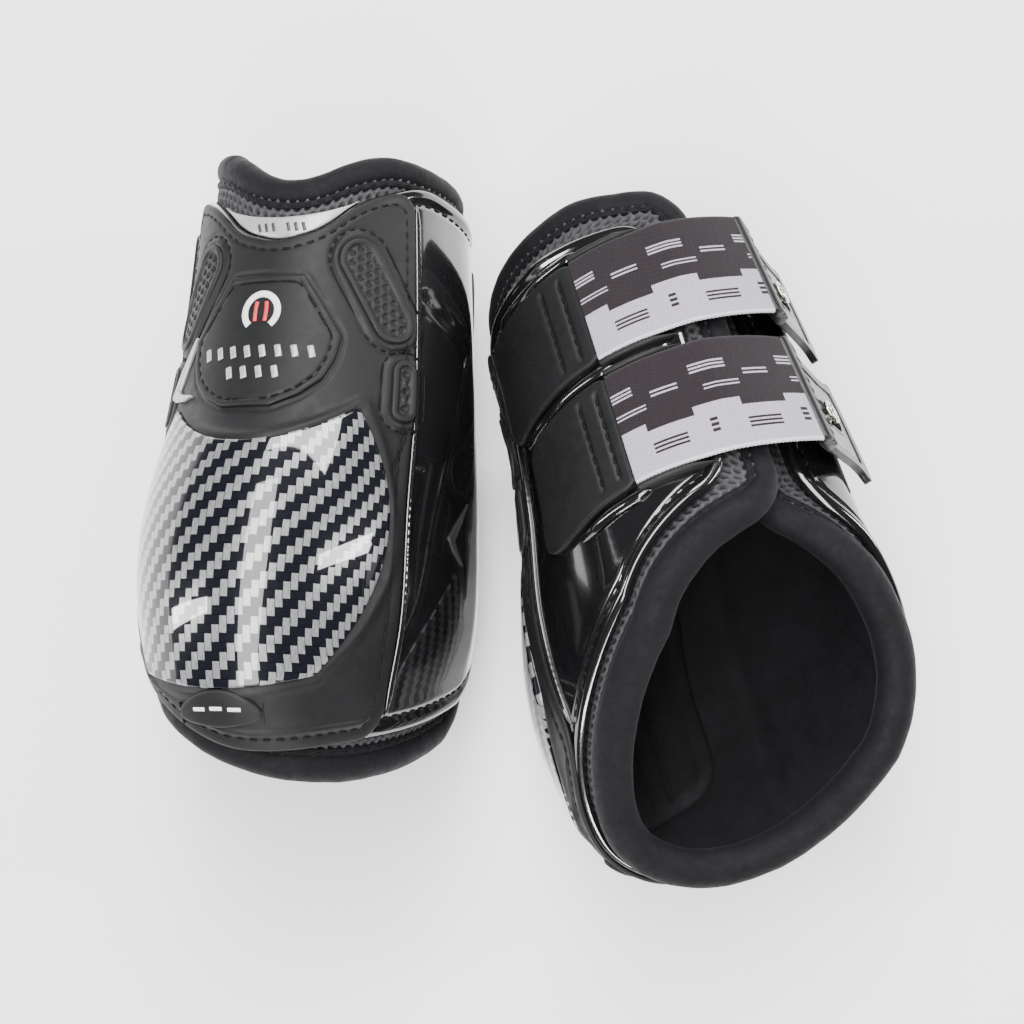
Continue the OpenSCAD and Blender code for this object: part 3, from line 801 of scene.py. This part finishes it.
def draw_spacer_mesh(add):
    """Band of knitted eyelets round the moulding, and the binding tape over its edge."""
    insets = np.arange(6.6, 24.6, 0.62)
    mid = loop_path(BACK_T - 3, FRONT_T + 5, rim_low, TOP, 11, 3)
    f, x, total = resample(at(mid[0], mid[1], MESH_D), 0.62)

    def rows(at_insets):
        loops = [loop_path(BACK_T - 3, FRONT_T + 5, rim_low, TOP, m, max(12.3 - m, 2.0)) for m in at_insets]
        return np.array([pick(a, f) for a, b in loops]), np.array([pick(b, f) for a, b in loops])
    T, Z = rows(insets)
    pitch = total/round(total/2.9)
    row = np.round(insets/2.35)
    X = x[None] + (row[:, None] % 2)*pitch/2
    dx = (X/pitch - np.round(X/pitch))*pitch
    dy = insets[:, None] - row[:, None]*2.35
    hole = 1 - step(np.hypot(dx*0.95, dy), 0.62, 1.05)
    D = MESH_D - 0.95*hole + 0.12*np.sin(X*4.3)*(1 - hole)
    S = np.stack([np.broadcast_to(x, T.shape), np.broadcast_to(insets[:, None], T.shape), 0*T], -1)
    # rows run inwards, so the grid is turned to keep its outside out
    band = sheet(T[::-1], Z[::-1], D[::-1], MESH_D - 1.5, True)
    # the eyelet mask also colours the dents near black in the material: painted shade for the dark openings
    add("air_mesh", band, MESHM, ["air_mesh"], "air_mesh", srf=np.concatenate([S[::-1].reshape(-1, 3)]*2),
        mask=np.concatenate([hole[::-1].ravel(), 0*hole.ravel()]))

    # binding tape over the mesh's edge
    T, Z = (q[:, ::2] for q in rows([7.5, 7.7, 8.0, 8.5, 9.0, 9.3, 9.5]))
    top = np.array([-0.1, .2, .34, .38, .34, .2, -0.1])[:, None]
    tape = sheet(T[::-1], Z[::-1], (MESH_D + top)[::-1], MESH_D - 0.5, True)
    add("edge_tape", tape, NEO, [], "neoprene")


def draw_shell(add):
    """Glossy moulding with a rolled bead and a sewn groove inside its edge."""
    t, z, e = panel(FLAP_OUT, FLAP_IN, SHELL_LOW, SHELL_TOP, 9, 170, 84)
    bead = 0.55*step(e, .3, 1.3)*(1 - step(e, 2.9, 3.8))
    D = rounded(e, 1.1) + bead - 0.4*gauss(e - 4.9, 0.55) + 0.12*gauss(e - 6.6, 0.6)
    add("shell", sheet(t, z, D, -SHELL_T), GLOSS, ["shell"], "gloss_tpu")


def draw_wing_ribs(add):
    """Glossy ribs above, between and below the anchors."""
    parts = []
    for z0, a0 in ((162.3, 70), (120.45, 68), (78.6, 84)):
        tt = np.linspace(a0, 117, 90)
        tap = np.clip(np.minimum(tt - tt[0], tt[-1] - tt)/5, 0.1, 1)**0.5
        parts.append(cord(tt, z0 + 0*tt, 0.2, 1.75*tap, 1.5*tap, 16))
    add("wing_ribs", merge(parts), GLOSS, [], "gloss_tpu")


def draw_crease_welts(add):
    """Welts where the glossy wings leave the back."""
    parts = []
    for a in (57.6, -57.6):
        zz = np.linspace(float(SHELL_LOW(a)) + 5.5, float(SHELL_TOP(a)) - 5, 420)
        tt = np.full(zz.shape, a)
        taper = np.sqrt(np.clip(np.minimum(zz - zz[0], zz[-1] - zz)/6, 0.02, 1))
        rib = 1 + 0.03*np.sin(zz*2*np.pi/2.2)
        parts.append(cord(tt, zz, 0.25, 1.15*taper, 1.15*taper*rib, 14))
    add("crease_welts", merge(parts), GLOSS, [], "gloss_tpu")


def draw_back_shield(add):
    """Matte back with its sewn outlines."""
    t, z, e = panel(-SHIELD_AT, SHIELD_AT, shield_low, shield_top, 8, 176, 200, EDGE, 0.8)
    sb = outline_distance(t*BADGE_K, z, round_poly(badge_poly()*[BADGE_K, 1], 1.5))
    sp = outline_distance(t*0.82, z, plate_outline()*[0.82, 1])
    creases = [line_distance(t*POD_K, z, [(sgn*a*POD_K, b) for a, b in V_LINE]) for sgn in (1, -1)]
    vl = np.minimum(*creases)
    D = SHIELD_D + rounded(e, .8) - 0.3*gauss(e - 3.0, 0.45)
    D = D + 0.75*gauss(sp - 1.6, 1.5) + 0.5*(1 - step(z - SHELL_LOW(t), 5.4, 6.6))*step(e, 3.6, 4.6)
    D = D - 0.4*gauss(sb - 0.9, 0.5) + raise_pods(t, z) - 0.28*gauss(vl, 0.45)
    D = D - 1.0*step(-sp, 0.6, 1.6)
    add("back_shield", sheet(t, z, np.maximum(D, 0.6), 0.3), MATTE, ["back_shield"], "matte_tpu")


def draw_strike_plate(p, add):
    """Domed strike plate; the weave is turned on the mirrored right boot, so both lean the same way."""
    nu, nv = 101, 101

    def g(m):
        """m places from -1 to 1, closer together at the ends."""
        return np.sin(np.linspace(-math.pi/2, math.pi/2, m))*0.55 + np.linspace(-1, 1, m)*0.45
    u, v = np.meshgrid(g(nu), (g(nv) + 1)/2)
    t, z = plate_tz(u, v)
    h = np.interp(np.abs(u), [0, 1], [64.5, 72.5])
    e = np.minimum((1 - np.abs(u))*plate_w(v)*0.8, np.minimum(v, 1 - v)*h)
    dome = at(t, z, PLATE_D + 0.9 + 1.4*(1 - u**2)*(1 - (2*v - 1)**2))
    terms = np.stack([u**i*(2*v - 1)**j for i in range(5) for j in range(3)], -1).reshape(-1, 15)
    dome = (terms @ np.linalg.lstsq(terms, dome.reshape(-1, 3), rcond=None)[0]).reshape(u.shape + (3,))
    dome = dome + away(t, z)*rounded(e, 0.8)[..., None]
    lead = at(t, z, PLATE_D)
    sx = np.cumsum(np.concatenate([np.zeros((nv, 1)), np.linalg.norm(np.diff(lead, axis=1), axis=2)], 1), 1)
    sx = (sx - sx[:, nu//2][:, None])*(-1 if p == "r" else 1)
    S = np.stack([sx, z, 0*z], -1).reshape(-1, 3)
    add("strike_plate", slab(dome, at(t, z, PLATE_D - 0.6)), WEAVE, ["strike_plate"], "carbon_weave",
        srf=np.concatenate([S, S]))


def draw_plate_label(add):
    """Plaque at the foot of the plate with three plain dashes."""
    t, z, e = panel(-16, 16, lambda a: 15.5 + a*a/110, lambda a: 24.6 - a*a/50, 2, 40, 16,
                    np.array([0, .2, .5, .9, 1.4]), 0.85)
    plaque = sheet(t, z, PLATE_D + 1.0 + rounded(e, 0.7), PLATE_D - 0.5)
    add("plate_label", plaque, MATTE, ["plate_label"], "matte_tpu")
    parts = []
    for k in (-1, 0, 1):
        tt = np.linspace(k*6.4 - 2.2, k*6.4 + 2.2, 10)
        zz = np.full(10, 20.0) - 0.15*k*k
        parts.append(cord(tt, zz, PLATE_D + 1.0, 0.55, 0.22, 10))
    add("plate_mark", merge(parts), WHITE, [], "silver_print")


def draw_badge(add):
    """Six-sided badge with a groove inside its edge."""
    zz = np.linspace(BADGE_Z[0], BADGE_Z[-1], 96)
    hw = np.interp(zz, BADGE_Z, BADGE_W)
    uu = np.linspace(-1, 1, 110)
    t, z = 2.5 + hw[:, None]*uu[None], np.broadcast_to(zz[:, None], (96, 110))
    e = np.maximum(0, -outline_distance(t*BADGE_K, z, badge_poly()*[BADGE_K, 1]))
    D = PLATE_D + 0.75 + rounded(e, 0.6) - 0.28*gauss(e - 2.1, 0.42)
    add("badge", sheet(t, z, D, PLATE_D - 0.4), MATTE, ["badge"], "matte_tpu")


def draw_emblem(add):
    """Plain emblem: a horseshoe over two rows of short bars."""
    ctr, d0 = np.array([2.5, 127.5]), PLATE_D + 0.75
    g = np.radians(np.linspace(-50, 230, 60))
    tt, zz = ctr[0] + 4.6*np.cos(g)/BADGE_K, ctr[1] + 5.2*np.sin(g)
    add("emblem_shoe", cord(tt, zz, d0, 1.0, 0.34, 10), WHITE, [], "silver_print")
    parts = []
    for k in (-1, 1):
        zz = np.linspace(124.6, 130.4, 12)
        tt = ctr[0] + k*(1.5 - 0.02*(zz - 127.5)**2)/BADGE_K
        parts.append(cord(tt, zz, d0, 0.62, 0.32, 8))
    add("emblem_bars", merge(parts), RED, [], "silver_print")
    parts = []
    for zc, count, hgt in ((115.6, 8, 1.7), (109.4, 4, 1.7)):
        for k in range(count):
            c = (k - (count - 1)/2)*4.15
            zz = np.linspace(zc - hgt, zc + hgt, 6)
            tt = 2.5 + (c + (zz - zc)*0.28)/BADGE_K
            parts.append(cord(tt, zz, d0, 0.95, 0.3, 8))
    add("badge_bars", merge(parts), SILVER, [], "silver_print")


def draw_badge_accent(add):
    """Silver tick below the inner corner of the badge."""
    n = 40
    f = np.linspace(0, 1, n)
    def poly(pts):
        q = np.asarray(pts, float)
        d = runs_of(np.hypot(*np.diff(q, axis=0).T))
        return np.stack([np.interp(f*d[-1], d, q[:, k]) for k in (0, 1)], -1)
    c0 = poly([(33, 122.5), (38, 117), (43, 111.5), (47, 106), (41, 104.2), (34, 103.6), (29, 104.4)])
    c1 = poly([(33.2, 122.0), (36.4, 116), (39.2, 110.8), (41.0, 107.6), (38, 106.3), (33, 105.3),
               (29.1, 104.8)])
    gr = np.linspace(0, 1, 5)[:, None, None]
    q = c0[None]*(1 - gr) + c1[None]*gr
    D = PLATE_D + 0.9 - 0.25*np.array([1, 0, 0, 0, 1])[:, None] + 0*q[..., 0]
    tick = sheet(q[..., 0], q[..., 1], D, SHIELD_D - 0.2)
    add("badge_accent", tick, SILVER, ["badge_accent"], "silver_print")


def draw_collar_label(add):
    """Silver crescent in the dip of the collar, with dark dashes."""
    tt = np.linspace(-33, 33, 90)
    lo, hi = SHELL_TOP(tt) + 0.7, np.maximum(156.4 + tt*tt/210, SHELL_TOP(tt) + 1.0)
    vv = np.array([0, .04, .12, .3, .5, .7, .88, .96, 1])[:, None]
    t, z = np.broadcast_to(tt, (9, 90)), lo[None] + (hi - lo)[None]*vv
    D = MESH_D + 1.35 - 0.35*np.array([1, .4, 0, 0, 0, 0, 0, .4, 1])[:, None] + 0*t
    add("collar_label", sheet(t, z, D, MESH_D - 0.2), SILVER, ["collar_label"], "silver_print")
    parts = []
    for k in range(-3, 4):
        if k == 0:
            continue
        zz = np.linspace(152.3, 154.7, 5)
        tc = np.full(5, k*3.4) + (zz - 153.5)*0.4
        parts.append(cord(tc, zz, MESH_D + 1.35, 0.5, 0.16, 8))
    add("collar_dashes", merge(parts), INK, [], "silver_print")


def draw_vents(add):
    """Perforated vents, two on each side of the badge."""
    for tag, sgn in (("inner", 1), ("outer", -1)):
        parts, masks = [], []
        for c0, c1, r in PODS:
            a, b = np.array([c0[0]*POD_K, c0[1]]), np.array([c1[0]*POD_K, c1[1]])
            half = np.linalg.norm(b - a)/2
            ev = (b - a)/2/half
            fv = np.array([-ev[1], ev[0]])
            m = int((half + r)*2/0.36)
            s = np.sin(np.linspace(-np.pi/2, np.pi/2, m))*0.25*(half + r)
            s = s + np.linspace(-1, 1, m)*0.75*(half + r)
            over = np.clip(np.abs(s) - half, 0, r)
            wd = np.sqrt(np.maximum(r*r - over**2, 0.05))
            k = np.linspace(-1, 1, int(r*2/0.33))
            S2, Wd = np.broadcast_to(s, (len(k), m)), k[:, None]*wd[None]
            e = r - np.hypot(np.maximum(np.abs(S2) - half, 0), Wd)
            xy = (a + b)/2 + S2[..., None]*ev + Wd[..., None]*fv
            row = np.round(S2/2.5)
            hx = Wd/2.7 + (row % 2)*0.5
            hole = (1 - step(np.hypot((hx - np.round(hx))*2.7, S2 - row*2.5), 0.62, 0.98))*(e > 2.5)
            D = PLATE_D + 0.75 + rounded(e, .7) - 0.75*step(e, 1.5, 2.1) + 0.35*step(e, 2.1, 3.4) - 0.8*hole
            tt, zz = sgn*xy[..., 0]/POD_K, xy[..., 1]
            v, fc = sheet(tt, zz, D, SHIELD_D - 0.2)
            if sgn < 0:
                fc = [q[::-1] for q in fc]
            fc = [q[::-1] for q in fc]
            parts.append((v, fc))
            masks.append(np.concatenate([hole.ravel(), 0*hole.ravel()]))
        add(f"vents_{tag}", merge(parts), PANELM, [f"vents_{tag}"], "matte_tpu", mask=np.concatenate(masks))


def draw_back_stitching(add):
    """Thread along the moulding, shield, badge, vents and creases, and round the mesh."""
    t, z = even_loop(FLAP_OUT, FLAP_IN, SHELL_LOW, SHELL_TOP, 4.9, 5, 0.8)[:2]
    back = np.abs(t) < SHIELD_AT
    runs = []
    i0 = int(np.argmax(back))
    order = np.roll(np.arange(len(t)), -i0)
    cuts = np.flatnonzero(np.diff(back[order].astype(int))) + 1
    for seg in np.split(order, cuts):
        if not back[seg[0]] and len(seg) > 10:
            runs.append(stitches(t[seg], z[seg], -0.30, closed=False))
    t, z = even_loop(-SHIELD_AT, SHIELD_AT, shield_low, shield_top, 3.0, 5, 0.8)[:2]
    runs.append(stitches(t, z, SHIELD_D - 0.2, 2.3, 1.2))
    runs.append(stitches(*badge_line(2.1), PLATE_D + 0.6, 2.3, 1.2, 0.3))
    for c0, c1, r in PODS:
        for sgn in (1, -1):
            q = capsule((c0[0]*sgn, c0[1]), (c1[0]*sgn, c1[1]), r + 2.7, 14)
            runs.append(stitches(q[:, 0], q[:, 1], SHIELD_D - 0.2, 1.9, 1.1, 0.28))
    for sgn in (1, -1):
        q = np.array(V_LINE)*[sgn, 1]
        d = runs_of(np.hypot(*np.diff(q, axis=0).T))
        s = np.linspace(2, d[-1], 60)
        t, z = np.interp(s, d, q[:, 0]), np.interp(s, d, q[:, 1])
        runs.append(stitches(t, z, SHIELD_D - 0.12, 2.2, 1.2, 0.3, False))
    add("stitching_back", merge(runs), THREAD, ["edge_welt"], "gloss_tpu")
    t, z = even_loop(BACK_T - 3, FRONT_T + 5, rim_low, TOP, 8.5, 3.8, 0.8)[:2]
    add("stitching_edge", stitches(t, z, MESH_D + 0.3, 2.5, 1.5, 0.3), THREAD, [], "neoprene")


def badge_line(inset):
    q = badge_poly()*[BADGE_K, 1]
    n = len(q)
    out = []
    for i in range(n):
        a, b, c = q[i - 1], q[i], q[(i + 1) % n]
        u, v = (b - a)/np.linalg.norm(b - a), (c - b)/np.linalg.norm(c - b)
        na, nb = np.array([-u[1], u[0]]), np.array([-v[1], v[0]])
        m = na + nb
        m /= max(np.dot(m, nb), 0.3)
        out.append(b + m*inset)
    out = round_poly(out, 2.5)
    return out[:, 0]/BADGE_K, out[:, 1]


def stud_frame(z):
    s, n = at(STUD_AT, z, 0), away(np.array(STUD_AT), np.array(z))
    n = np.array([n[0], n[1], 0])/np.hypot(n[0], n[1])
    return s, np.array([-n[1], n[0], 0]), n


def strap_mid(z, h, n=150):
    """Middle line of the elastic at offset h from its centre."""
    t0 = STRAP_T0 - 5.0
    s, x, nn = stud_frame(z)
    a = at(STRAP_FREE, z + h, STRAP_D + STRAP_T/2 + 0.5)
    b = s + x*(BAR_X - BAR_R + 0.6) + nn*BAR_Z + [0, 0, h]
    c = (a + b)/2 + away(np.array(STRAP_FREE), np.array(z))*2
    i = np.linspace(0, 1, n//2, endpoint=False)
    t = t0 + (STRAP_FREE - t0)*i
    first = at(t, z + h + 0*t, STRAP_D + STRAP_T/2 + 0.5*ease(i))
    k = np.linspace(0, 1, n - n//2)[:, None]
    return np.concatenate([first, a*(1 - k)**2 + c*2*k*(1 - k) + b*k*k])


def flat_shape(outer, holes, thick, bevel, res=2):
    """Bevelled plate from a polygon and its holes, as vertices (x, y, 0..thick) and faces."""
    cu = bpy.data.curves.new("flat", "CURVE")
    cu.dimensions, cu.fill_mode = "2D", "BOTH"
    cu.extrude, cu.bevel_depth, cu.bevel_resolution = thick/2 - bevel, bevel, res
    cu.offset = -bevel
    for pts in [outer, *holes]:
        sp = cu.splines.new("POLY")
        sp.points.add(len(pts) - 1)
        sp.points.foreach_set("co", np.hstack([pts, np.zeros((len(pts), 1)), np.ones((len(pts), 1))]).ravel())
        sp.use_cyclic_u = True
    o = bpy.data.objects.new("flat", cu)
    bpy.context.collection.objects.link(o)
    me = bpy.data.meshes.new_from_object(o.evaluated_get(bpy.context.evaluated_depsgraph_get()))
    v = np.zeros(len(me.vertices)*3)
    me.vertices.foreach_get("co", v)
    v = v.reshape(-1, 3) + [0, 0, thick/2]
    faces = [list(q.vertices) for q in me.polygons]
    bpy.data.objects.remove(o)
    bpy.data.curves.remove(cu)
    bpy.data.meshes.remove(me)
    return v, faces


def slot_shape(a, b, r, n=16):
    g = np.linspace(-np.pi/2, np.pi/2, n)
    far = [[b - r + r*math.cos(k), r*math.sin(k)] for k in g]
    near = [[a + r - r*math.cos(k), -r*math.sin(k)] for k in g]
    return np.array(far + near)


def draw_anchor(add, tag, zc):
    """Anchor plate with two sewn grooves, and the lips of its pocket; gives back its rows of stitches."""
    half = STRAP_W/2 + 0.3
    t, z, e = panel(ANCHOR_T0[tag], STRAP_T0 - 1.7, lambda a: zc - half + 0*a, lambda a: zc + half + 0*a,
                    6, 96, 60, np.array([0, .2, .5, .9, 1.4, 2.0]))
    D = 2.25 + rounded(np.minimum(e, 9), 0.9)
    runs = []
    for gt in ANCHOR_GROOVES[tag]:
        D = D - 0.7*gauss((t - gt)*K, 0.75)*step(half - np.abs(z - zc), 3.0, 4.2)
        zz = np.linspace(zc - half + 4.6, zc + half - 4.6, 40)
        runs.append(stitches(0*zz + gt, zz, 1.78, 2.4, 1.3, 0.34, False))
    D = D - 0.25*gauss((t - 112.5)*K, 0.6)
    add(f"anchor_{tag}", sheet(t, z, D, 0.05), MATTE, [f"anchor_{tag}"], "matte_tpu")
    lips = []
    for s in (-1, 1):
        tt = np.linspace(STRAP_T0 - 5, STRAP_T0 + 25, 60)
        zz = zc + s*(half + 0.9) + 0*tt
        tap = np.clip((tt[-1] - tt)/9, 0.12, 1)**0.6
        lips.append(cord(tt, zz, 0.6, 1.15*tap, 1.9*tap, 14))
    add(f"pocket_{tag}", merge(lips), MATTE, [], "matte_tpu")
    return runs


def draw_elastic(p, add, tag, zc):
    """Woven band with scalloped selvedges, bent between its anchor and its strap body."""
    ys = np.concatenate([[-18, -17.8, -17.4, -16.8], np.linspace(-16, 16, 17), [16.8, 17.4, 17.8, 18]])
    rows = np.array([strap_mid(zc, y) for y in ys])
    normal = np.cross(np.gradient(rows, axis=1), [0, 0, 1.0])
    normal /= np.linalg.norm(normal, axis=2, keepdims=True)
    along = runs_of(np.linalg.norm(np.diff(rows[len(ys)//2], axis=0), axis=1))
    scallop = 0.10*np.sin(along*2*np.pi/1.1)
    edge = np.clip((18 - np.abs(ys))/1.2, 0, 1)
    th = (STRAP_T/2*np.sqrt(1 - (1 - edge)**2*0.9))[:, None, None]
    cup = (0.25*(ys/18)**2)[:, None, None]
    selvedge = (np.sign(ys)*(np.abs(ys) > 17.5))[:, None, None]
    rows = rows + np.array([0, 0, 1.0])*selvedge*scallop[None, :, None]
    grid = rows.shape[:2]
    S = np.stack([np.broadcast_to(along, grid), np.broadcast_to(ys[:, None], grid), np.zeros(grid)], -1)
    S = S.reshape(-1, 3)
    band = slab(rows + normal*(th - cup*0.3), rows - normal*(th + cup*0.3))
    o = add(f"elastic_{tag}", band, ELAST, [f"elastic_{tag}"], "elastic_web", body=None,
            srf=np.concatenate([S, S]))
    a, b = world(at(STRAP_T0 - 1, zc, 1.6), p), world(at(STRAP_T0 + 9, zc, 1.6), p)
    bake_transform(o)


def bar_shape():
    """Ribbed grip bar along the strap's end of the tab, as vertices (x, y, height) and faces."""
    prof = np.array([(-19.2, 1.2), (-19.55, 2.1), (-19.2, 3.0), (-18.4, 3.85), (-17.3, 4.2), (-16.6, 4.2),
                     (-16.3, 3.75), (-15.9, 3.75), (-15.6, 4.1), (-14.9, 4.1), (-14.6, 3.6), (-14.2, 3.6),
                     (-13.9, 3.95), (-13.2, 3.95), (-12.4, 3.5), (-11.9, 2.4), (-11.8, 0.4), (-12.2, 0.05),
                     (-17.3, 0.0), (-18.5, 0.4)])
    ys = np.concatenate([[-17.9, -17.75, -17.4], np.linspace(-17, 17, 30), [17.4, 17.75, 17.9]])
    shrink = np.concatenate([[0.86, 0.95, 0.99], np.ones(30), [0.99, 0.95, 0.86]])
    mid = prof.mean(0)
    bar = []
    for y, k in zip(ys, shrink):
        x, h = (prof[:, 0] - mid[0])*k + mid[0], (prof[:, 1] - mid[1])*k + mid[1] + TAB_LIFT - 0.3
        bar.append(np.column_stack([x, np.full(len(prof), y), h]))
    m, q = len(ys), len(prof)
    i = np.arange(m - 1)
    faces = []
    for k in range(q):
        k2 = (k + 1) % q
        faces += np.stack([i*q + k, i*q + k2, (i + 1)*q + k2, (i + 1)*q + k], -1).tolist()
    faces += [list(range(q))[::-1], [(m - 1)*q + k for k in range(q)]]
    return np.concatenate(bar), faces


def draw_tab(p, add, tag, zc):
    """Pull tab: slotted plate with a raised rim, a glossy inlay, a grip bar and its stitches."""
    s, x, n = stud_frame(zc)

    def place(q, lift=0.0):
        q = np.asarray(q, float) + [0, 0, lift]
        return s + q[:, :1]*x + q[:, 1:2]*np.array([0, 0, 1.0]) + q[:, 2:]*n

    def mirrored(half):
        return half + [(a, -b) for a, b in half[-2::-1]]
    body = f"{SIDE[p]}_tab_{tag}"
    outer = round_poly(mirrored([(-16.5, -17.6), (-9, -17.2), (5, -15.4), (10, -15.8), (13.2, -17.8),
                                 (14.9, -17.0), (15.6, -12), (15.9, 0)]), 1.6)
    window = round_poly(mirrored([(-9.5, -13.6), (3, -12.0), (11.6, -12.8), (12.2, -8), (12.4, 0)]), 1.2)
    hole = slot_shape(-5.5, 8.0, HEAD_R + 0.35)
    plate = flat_shape(outer, [hole], TAB_T - 0.5, 0.35)
    rim = flat_shape(outer, [window], 0.9, 0.3)
    lip = flat_shape(slot_shape(-6.8, 9.3, HEAD_R + 1.5), [hole], 0.5, 0.2)
    bar = bar_shape()
    top = TAB_LIFT + TAB_T
    tab = merge([(place(plate[0], TAB_LIFT), plate[1]), (place(rim[0], top - 0.9), rim[1]),
                 (place(bar[0]), bar[1])])
    add(f"tab_{tag}", tab, RUBBER, [f"tab_{tag}"], "tab_rubber", body=body)
    inlay = flat_shape(round_poly(window, 0.5), [slot_shape(-6.9, 9.4, HEAD_R + 1.6)], 0.5, 0.15)
    shine = merge([(place(inlay[0], top - 0.85), inlay[1]), (place(lip[0], top - 0.75), lip[1])])
    add(f"tab_inlay_{tag}", shine, TABGLOSS, [], "tab_rubber", body=body)
    rows = []
    for row in (-16.1, -14.4):
        for y in np.arange(-14.5, 14.6, 3.6):
            ys = np.linspace(y - 1.2, y + 1.2, 7)
            lift = 4.02 + TAB_LIFT - 0.3 - 0.28*np.abs((ys - y)/1.2)**4
            pts = place(np.column_stack([0*ys + row, ys, lift]))
            rows.append(tube(pts, np.broadcast_to(n, pts.shape), 0.3, 0.26, 6, False))
    add(f"tab_stitching_{tag}", merge(rows), THREAD, [], "tab_rubber", body=body)


def draw_studs(add):
    """Studs: flange, post and a lobed mushroom head with a crossed recess."""
    top = TAB_LIFT + TAB_T
    profile = [(0, -1.2), (2.0, -1.2), (2.05, 0.0), (4.9, 0.05), (5.0, 0.45), (4.6, 0.7), (2.4, 0.85),
               (2.1, 1.4), (2.1, top), (2.3, top + .12), (3.3, top + .2), (3.6, top + .45), (3.6, top + 0.95),
               (3.3, top + 1.3), (2.7, top + 1.45), (2.3, top + 1.45), (2.1, top + 1.2), (1.4, top + 1.2),
               (1.2, top + 1.55), (0.6, top + 1.7), (0, top + 1.72)]
    r, h = np.array(profile).T
    turns = 64
    g = np.linspace(0, 2*np.pi, turns, endpoint=False)
    lobes = 1 + 0.035*np.cos(8*g)[None]*(h > top + 0.2)[:, None]*(r > 2.9)[:, None]
    R = r[:, None]*lobes
    crown = ((r > 1.0) & (r < 3.1) & (h > top + 1.1))[:, None]
    H = h[:, None] - 0.45*(np.abs(np.sin(2*g))[None] < 0.30)*crown
    q = np.stack([R*np.cos(g), R*np.sin(g), H + 0*g], -1)
    parts = []
    for zc in STRAPS.values():
        s, x, n = stud_frame(zc)
        pts = s + q[..., :1]*x + q[..., 1:2]*np.array([0, 0, 1.0]) + q[..., 2:]*n
        parts.append((pts.reshape(-1, 3), quads(len(r), turns, 0, True).tolist()))
    add("studs", merge(parts), METAL, ["studs"], "stud_metal")


def draw_straps(p, add):
    runs = []
    for tag, zc in STRAPS.items():
        runs += draw_anchor(add, tag, zc)
        draw_elastic(p, add, tag, zc)
        draw_tab(p, add, tag, zc)
    add("stitching_anchors", merge(runs), THREAD, [], "matte_tpu")
    draw_studs(add)


def make_boot(p):
    side = SIDE[p]
    boot = side + "_boot"

    def add(name, vf, mat, nodes=(), slot=None, body=boot, srf=None, mask=None):
        nodes = [f"{p}_{x}" for x in nodes]
        return build(f"{side}_{name}", p, vf[0], vf[1], mat, body, nodes, srf, mask)

    draw_liner(add)
    draw_impact_pad(add)
    draw_edge_roll(add)
    draw_spacer_mesh(add)
    draw_shell(add)
    draw_wing_ribs(add)
    draw_crease_welts(add)
    draw_back_shield(add)
    draw_strike_plate(p, add)
    draw_plate_label(add)
    draw_badge(add)
    draw_emblem(add)
    draw_badge_accent(add)
    draw_collar_label(add)
    draw_vents(add)
    draw_back_stitching(add)
    draw_straps(p, add)

for side_key in ("r", "l"):
    make_boot(side_key)

# ------------------------------------------------------------------ floor, light and camera
def stage_floor():
    me = bpy.data.meshes.new("floor")
    s = 6.0
    me.from_pydata([(-s, -s, 0), (s, -s, 0), (s, s, 0), (-s, s, 0)], [], [(0, 1, 2, 3)])
    o = bpy.data.objects.new("floor", me)
    bpy.context.collection.objects.link(o)
    k = Maker("floor", Specular_IOR_Level=0.2)
    k.color(k.ramp(k.noise(3, 2), [(0.3, (0.93, 0.93, 0.932)), (0.7, (0.95, 0.95, 0.952))]))
    k.b.inputs["Roughness"].default_value = 0.9
    me.materials.append(k.m)


def softbox(name, loc, target, size, power, color=(1, 1, 1)):
    li = bpy.data.lights.new(name, "AREA")
    li.shape, li.size, li.size_y, li.energy, li.color = "RECTANGLE", size[0], size[1], power, color
    o = bpy.data.objects.new(name, li)
    bpy.context.collection.objects.link(o)
    o.location = loc
    o.rotation_euler = (Vector(target) - Vector(loc)).to_track_quat("-Z", "Y").to_euler()
    return o


stage_floor()
strip = softbox("strip", (-0.1, -0.1, 0.98), (-0.06, 0.0, 0.05), (0.34, 1.9), 34)
strip.rotation_euler = (0, 0, 0)  # level, its long side along the boots
softbox("key", (0.25, 1.0, 0.75), (0.0, 0.05, 0.05), (1.0, 0.2), 16)
softbox("left", (-1.1, -0.05, 0.5), (0, 0, 0.05), (0.12, 0.9), 12)
softbox("right", (1.15, 0.2, 0.6), (0, 0, 0.05), (0.14, 0.9), 15)
softbox("front", (0.15, -1.2, 0.5), (0, 0, 0.05), (0.7, 0.1), 9)
w = bpy.data.worlds.new("studio")
bpy.context.scene.world = w
w.use_nodes = True
w.node_tree.nodes["Background"].inputs[0].default_value = (1, 1, 1, 1)
w.node_tree.nodes["Background"].inputs[1].default_value = 0.12

cam = bpy.data.cameras.new("camera")
cam.lens, cam.sensor_width = 73.8, 36.0
cam.clip_start, cam.clip_end = 0.05, 20
co = bpy.data.objects.new("camera", cam)
bpy.context.collection.objects.link(co)
ELEV, DIST = math.radians(78.41), 0.61658
co.location = (SHIFT[0]/1000, SHIFT[1]/1000 - DIST*math.cos(ELEV), (40 + SHIFT[2])/1000 + DIST*math.sin(ELEV))
co.rotation_euler = (math.pi/2 - ELEV, 0, 0)
bpy.context.scene.camera = co
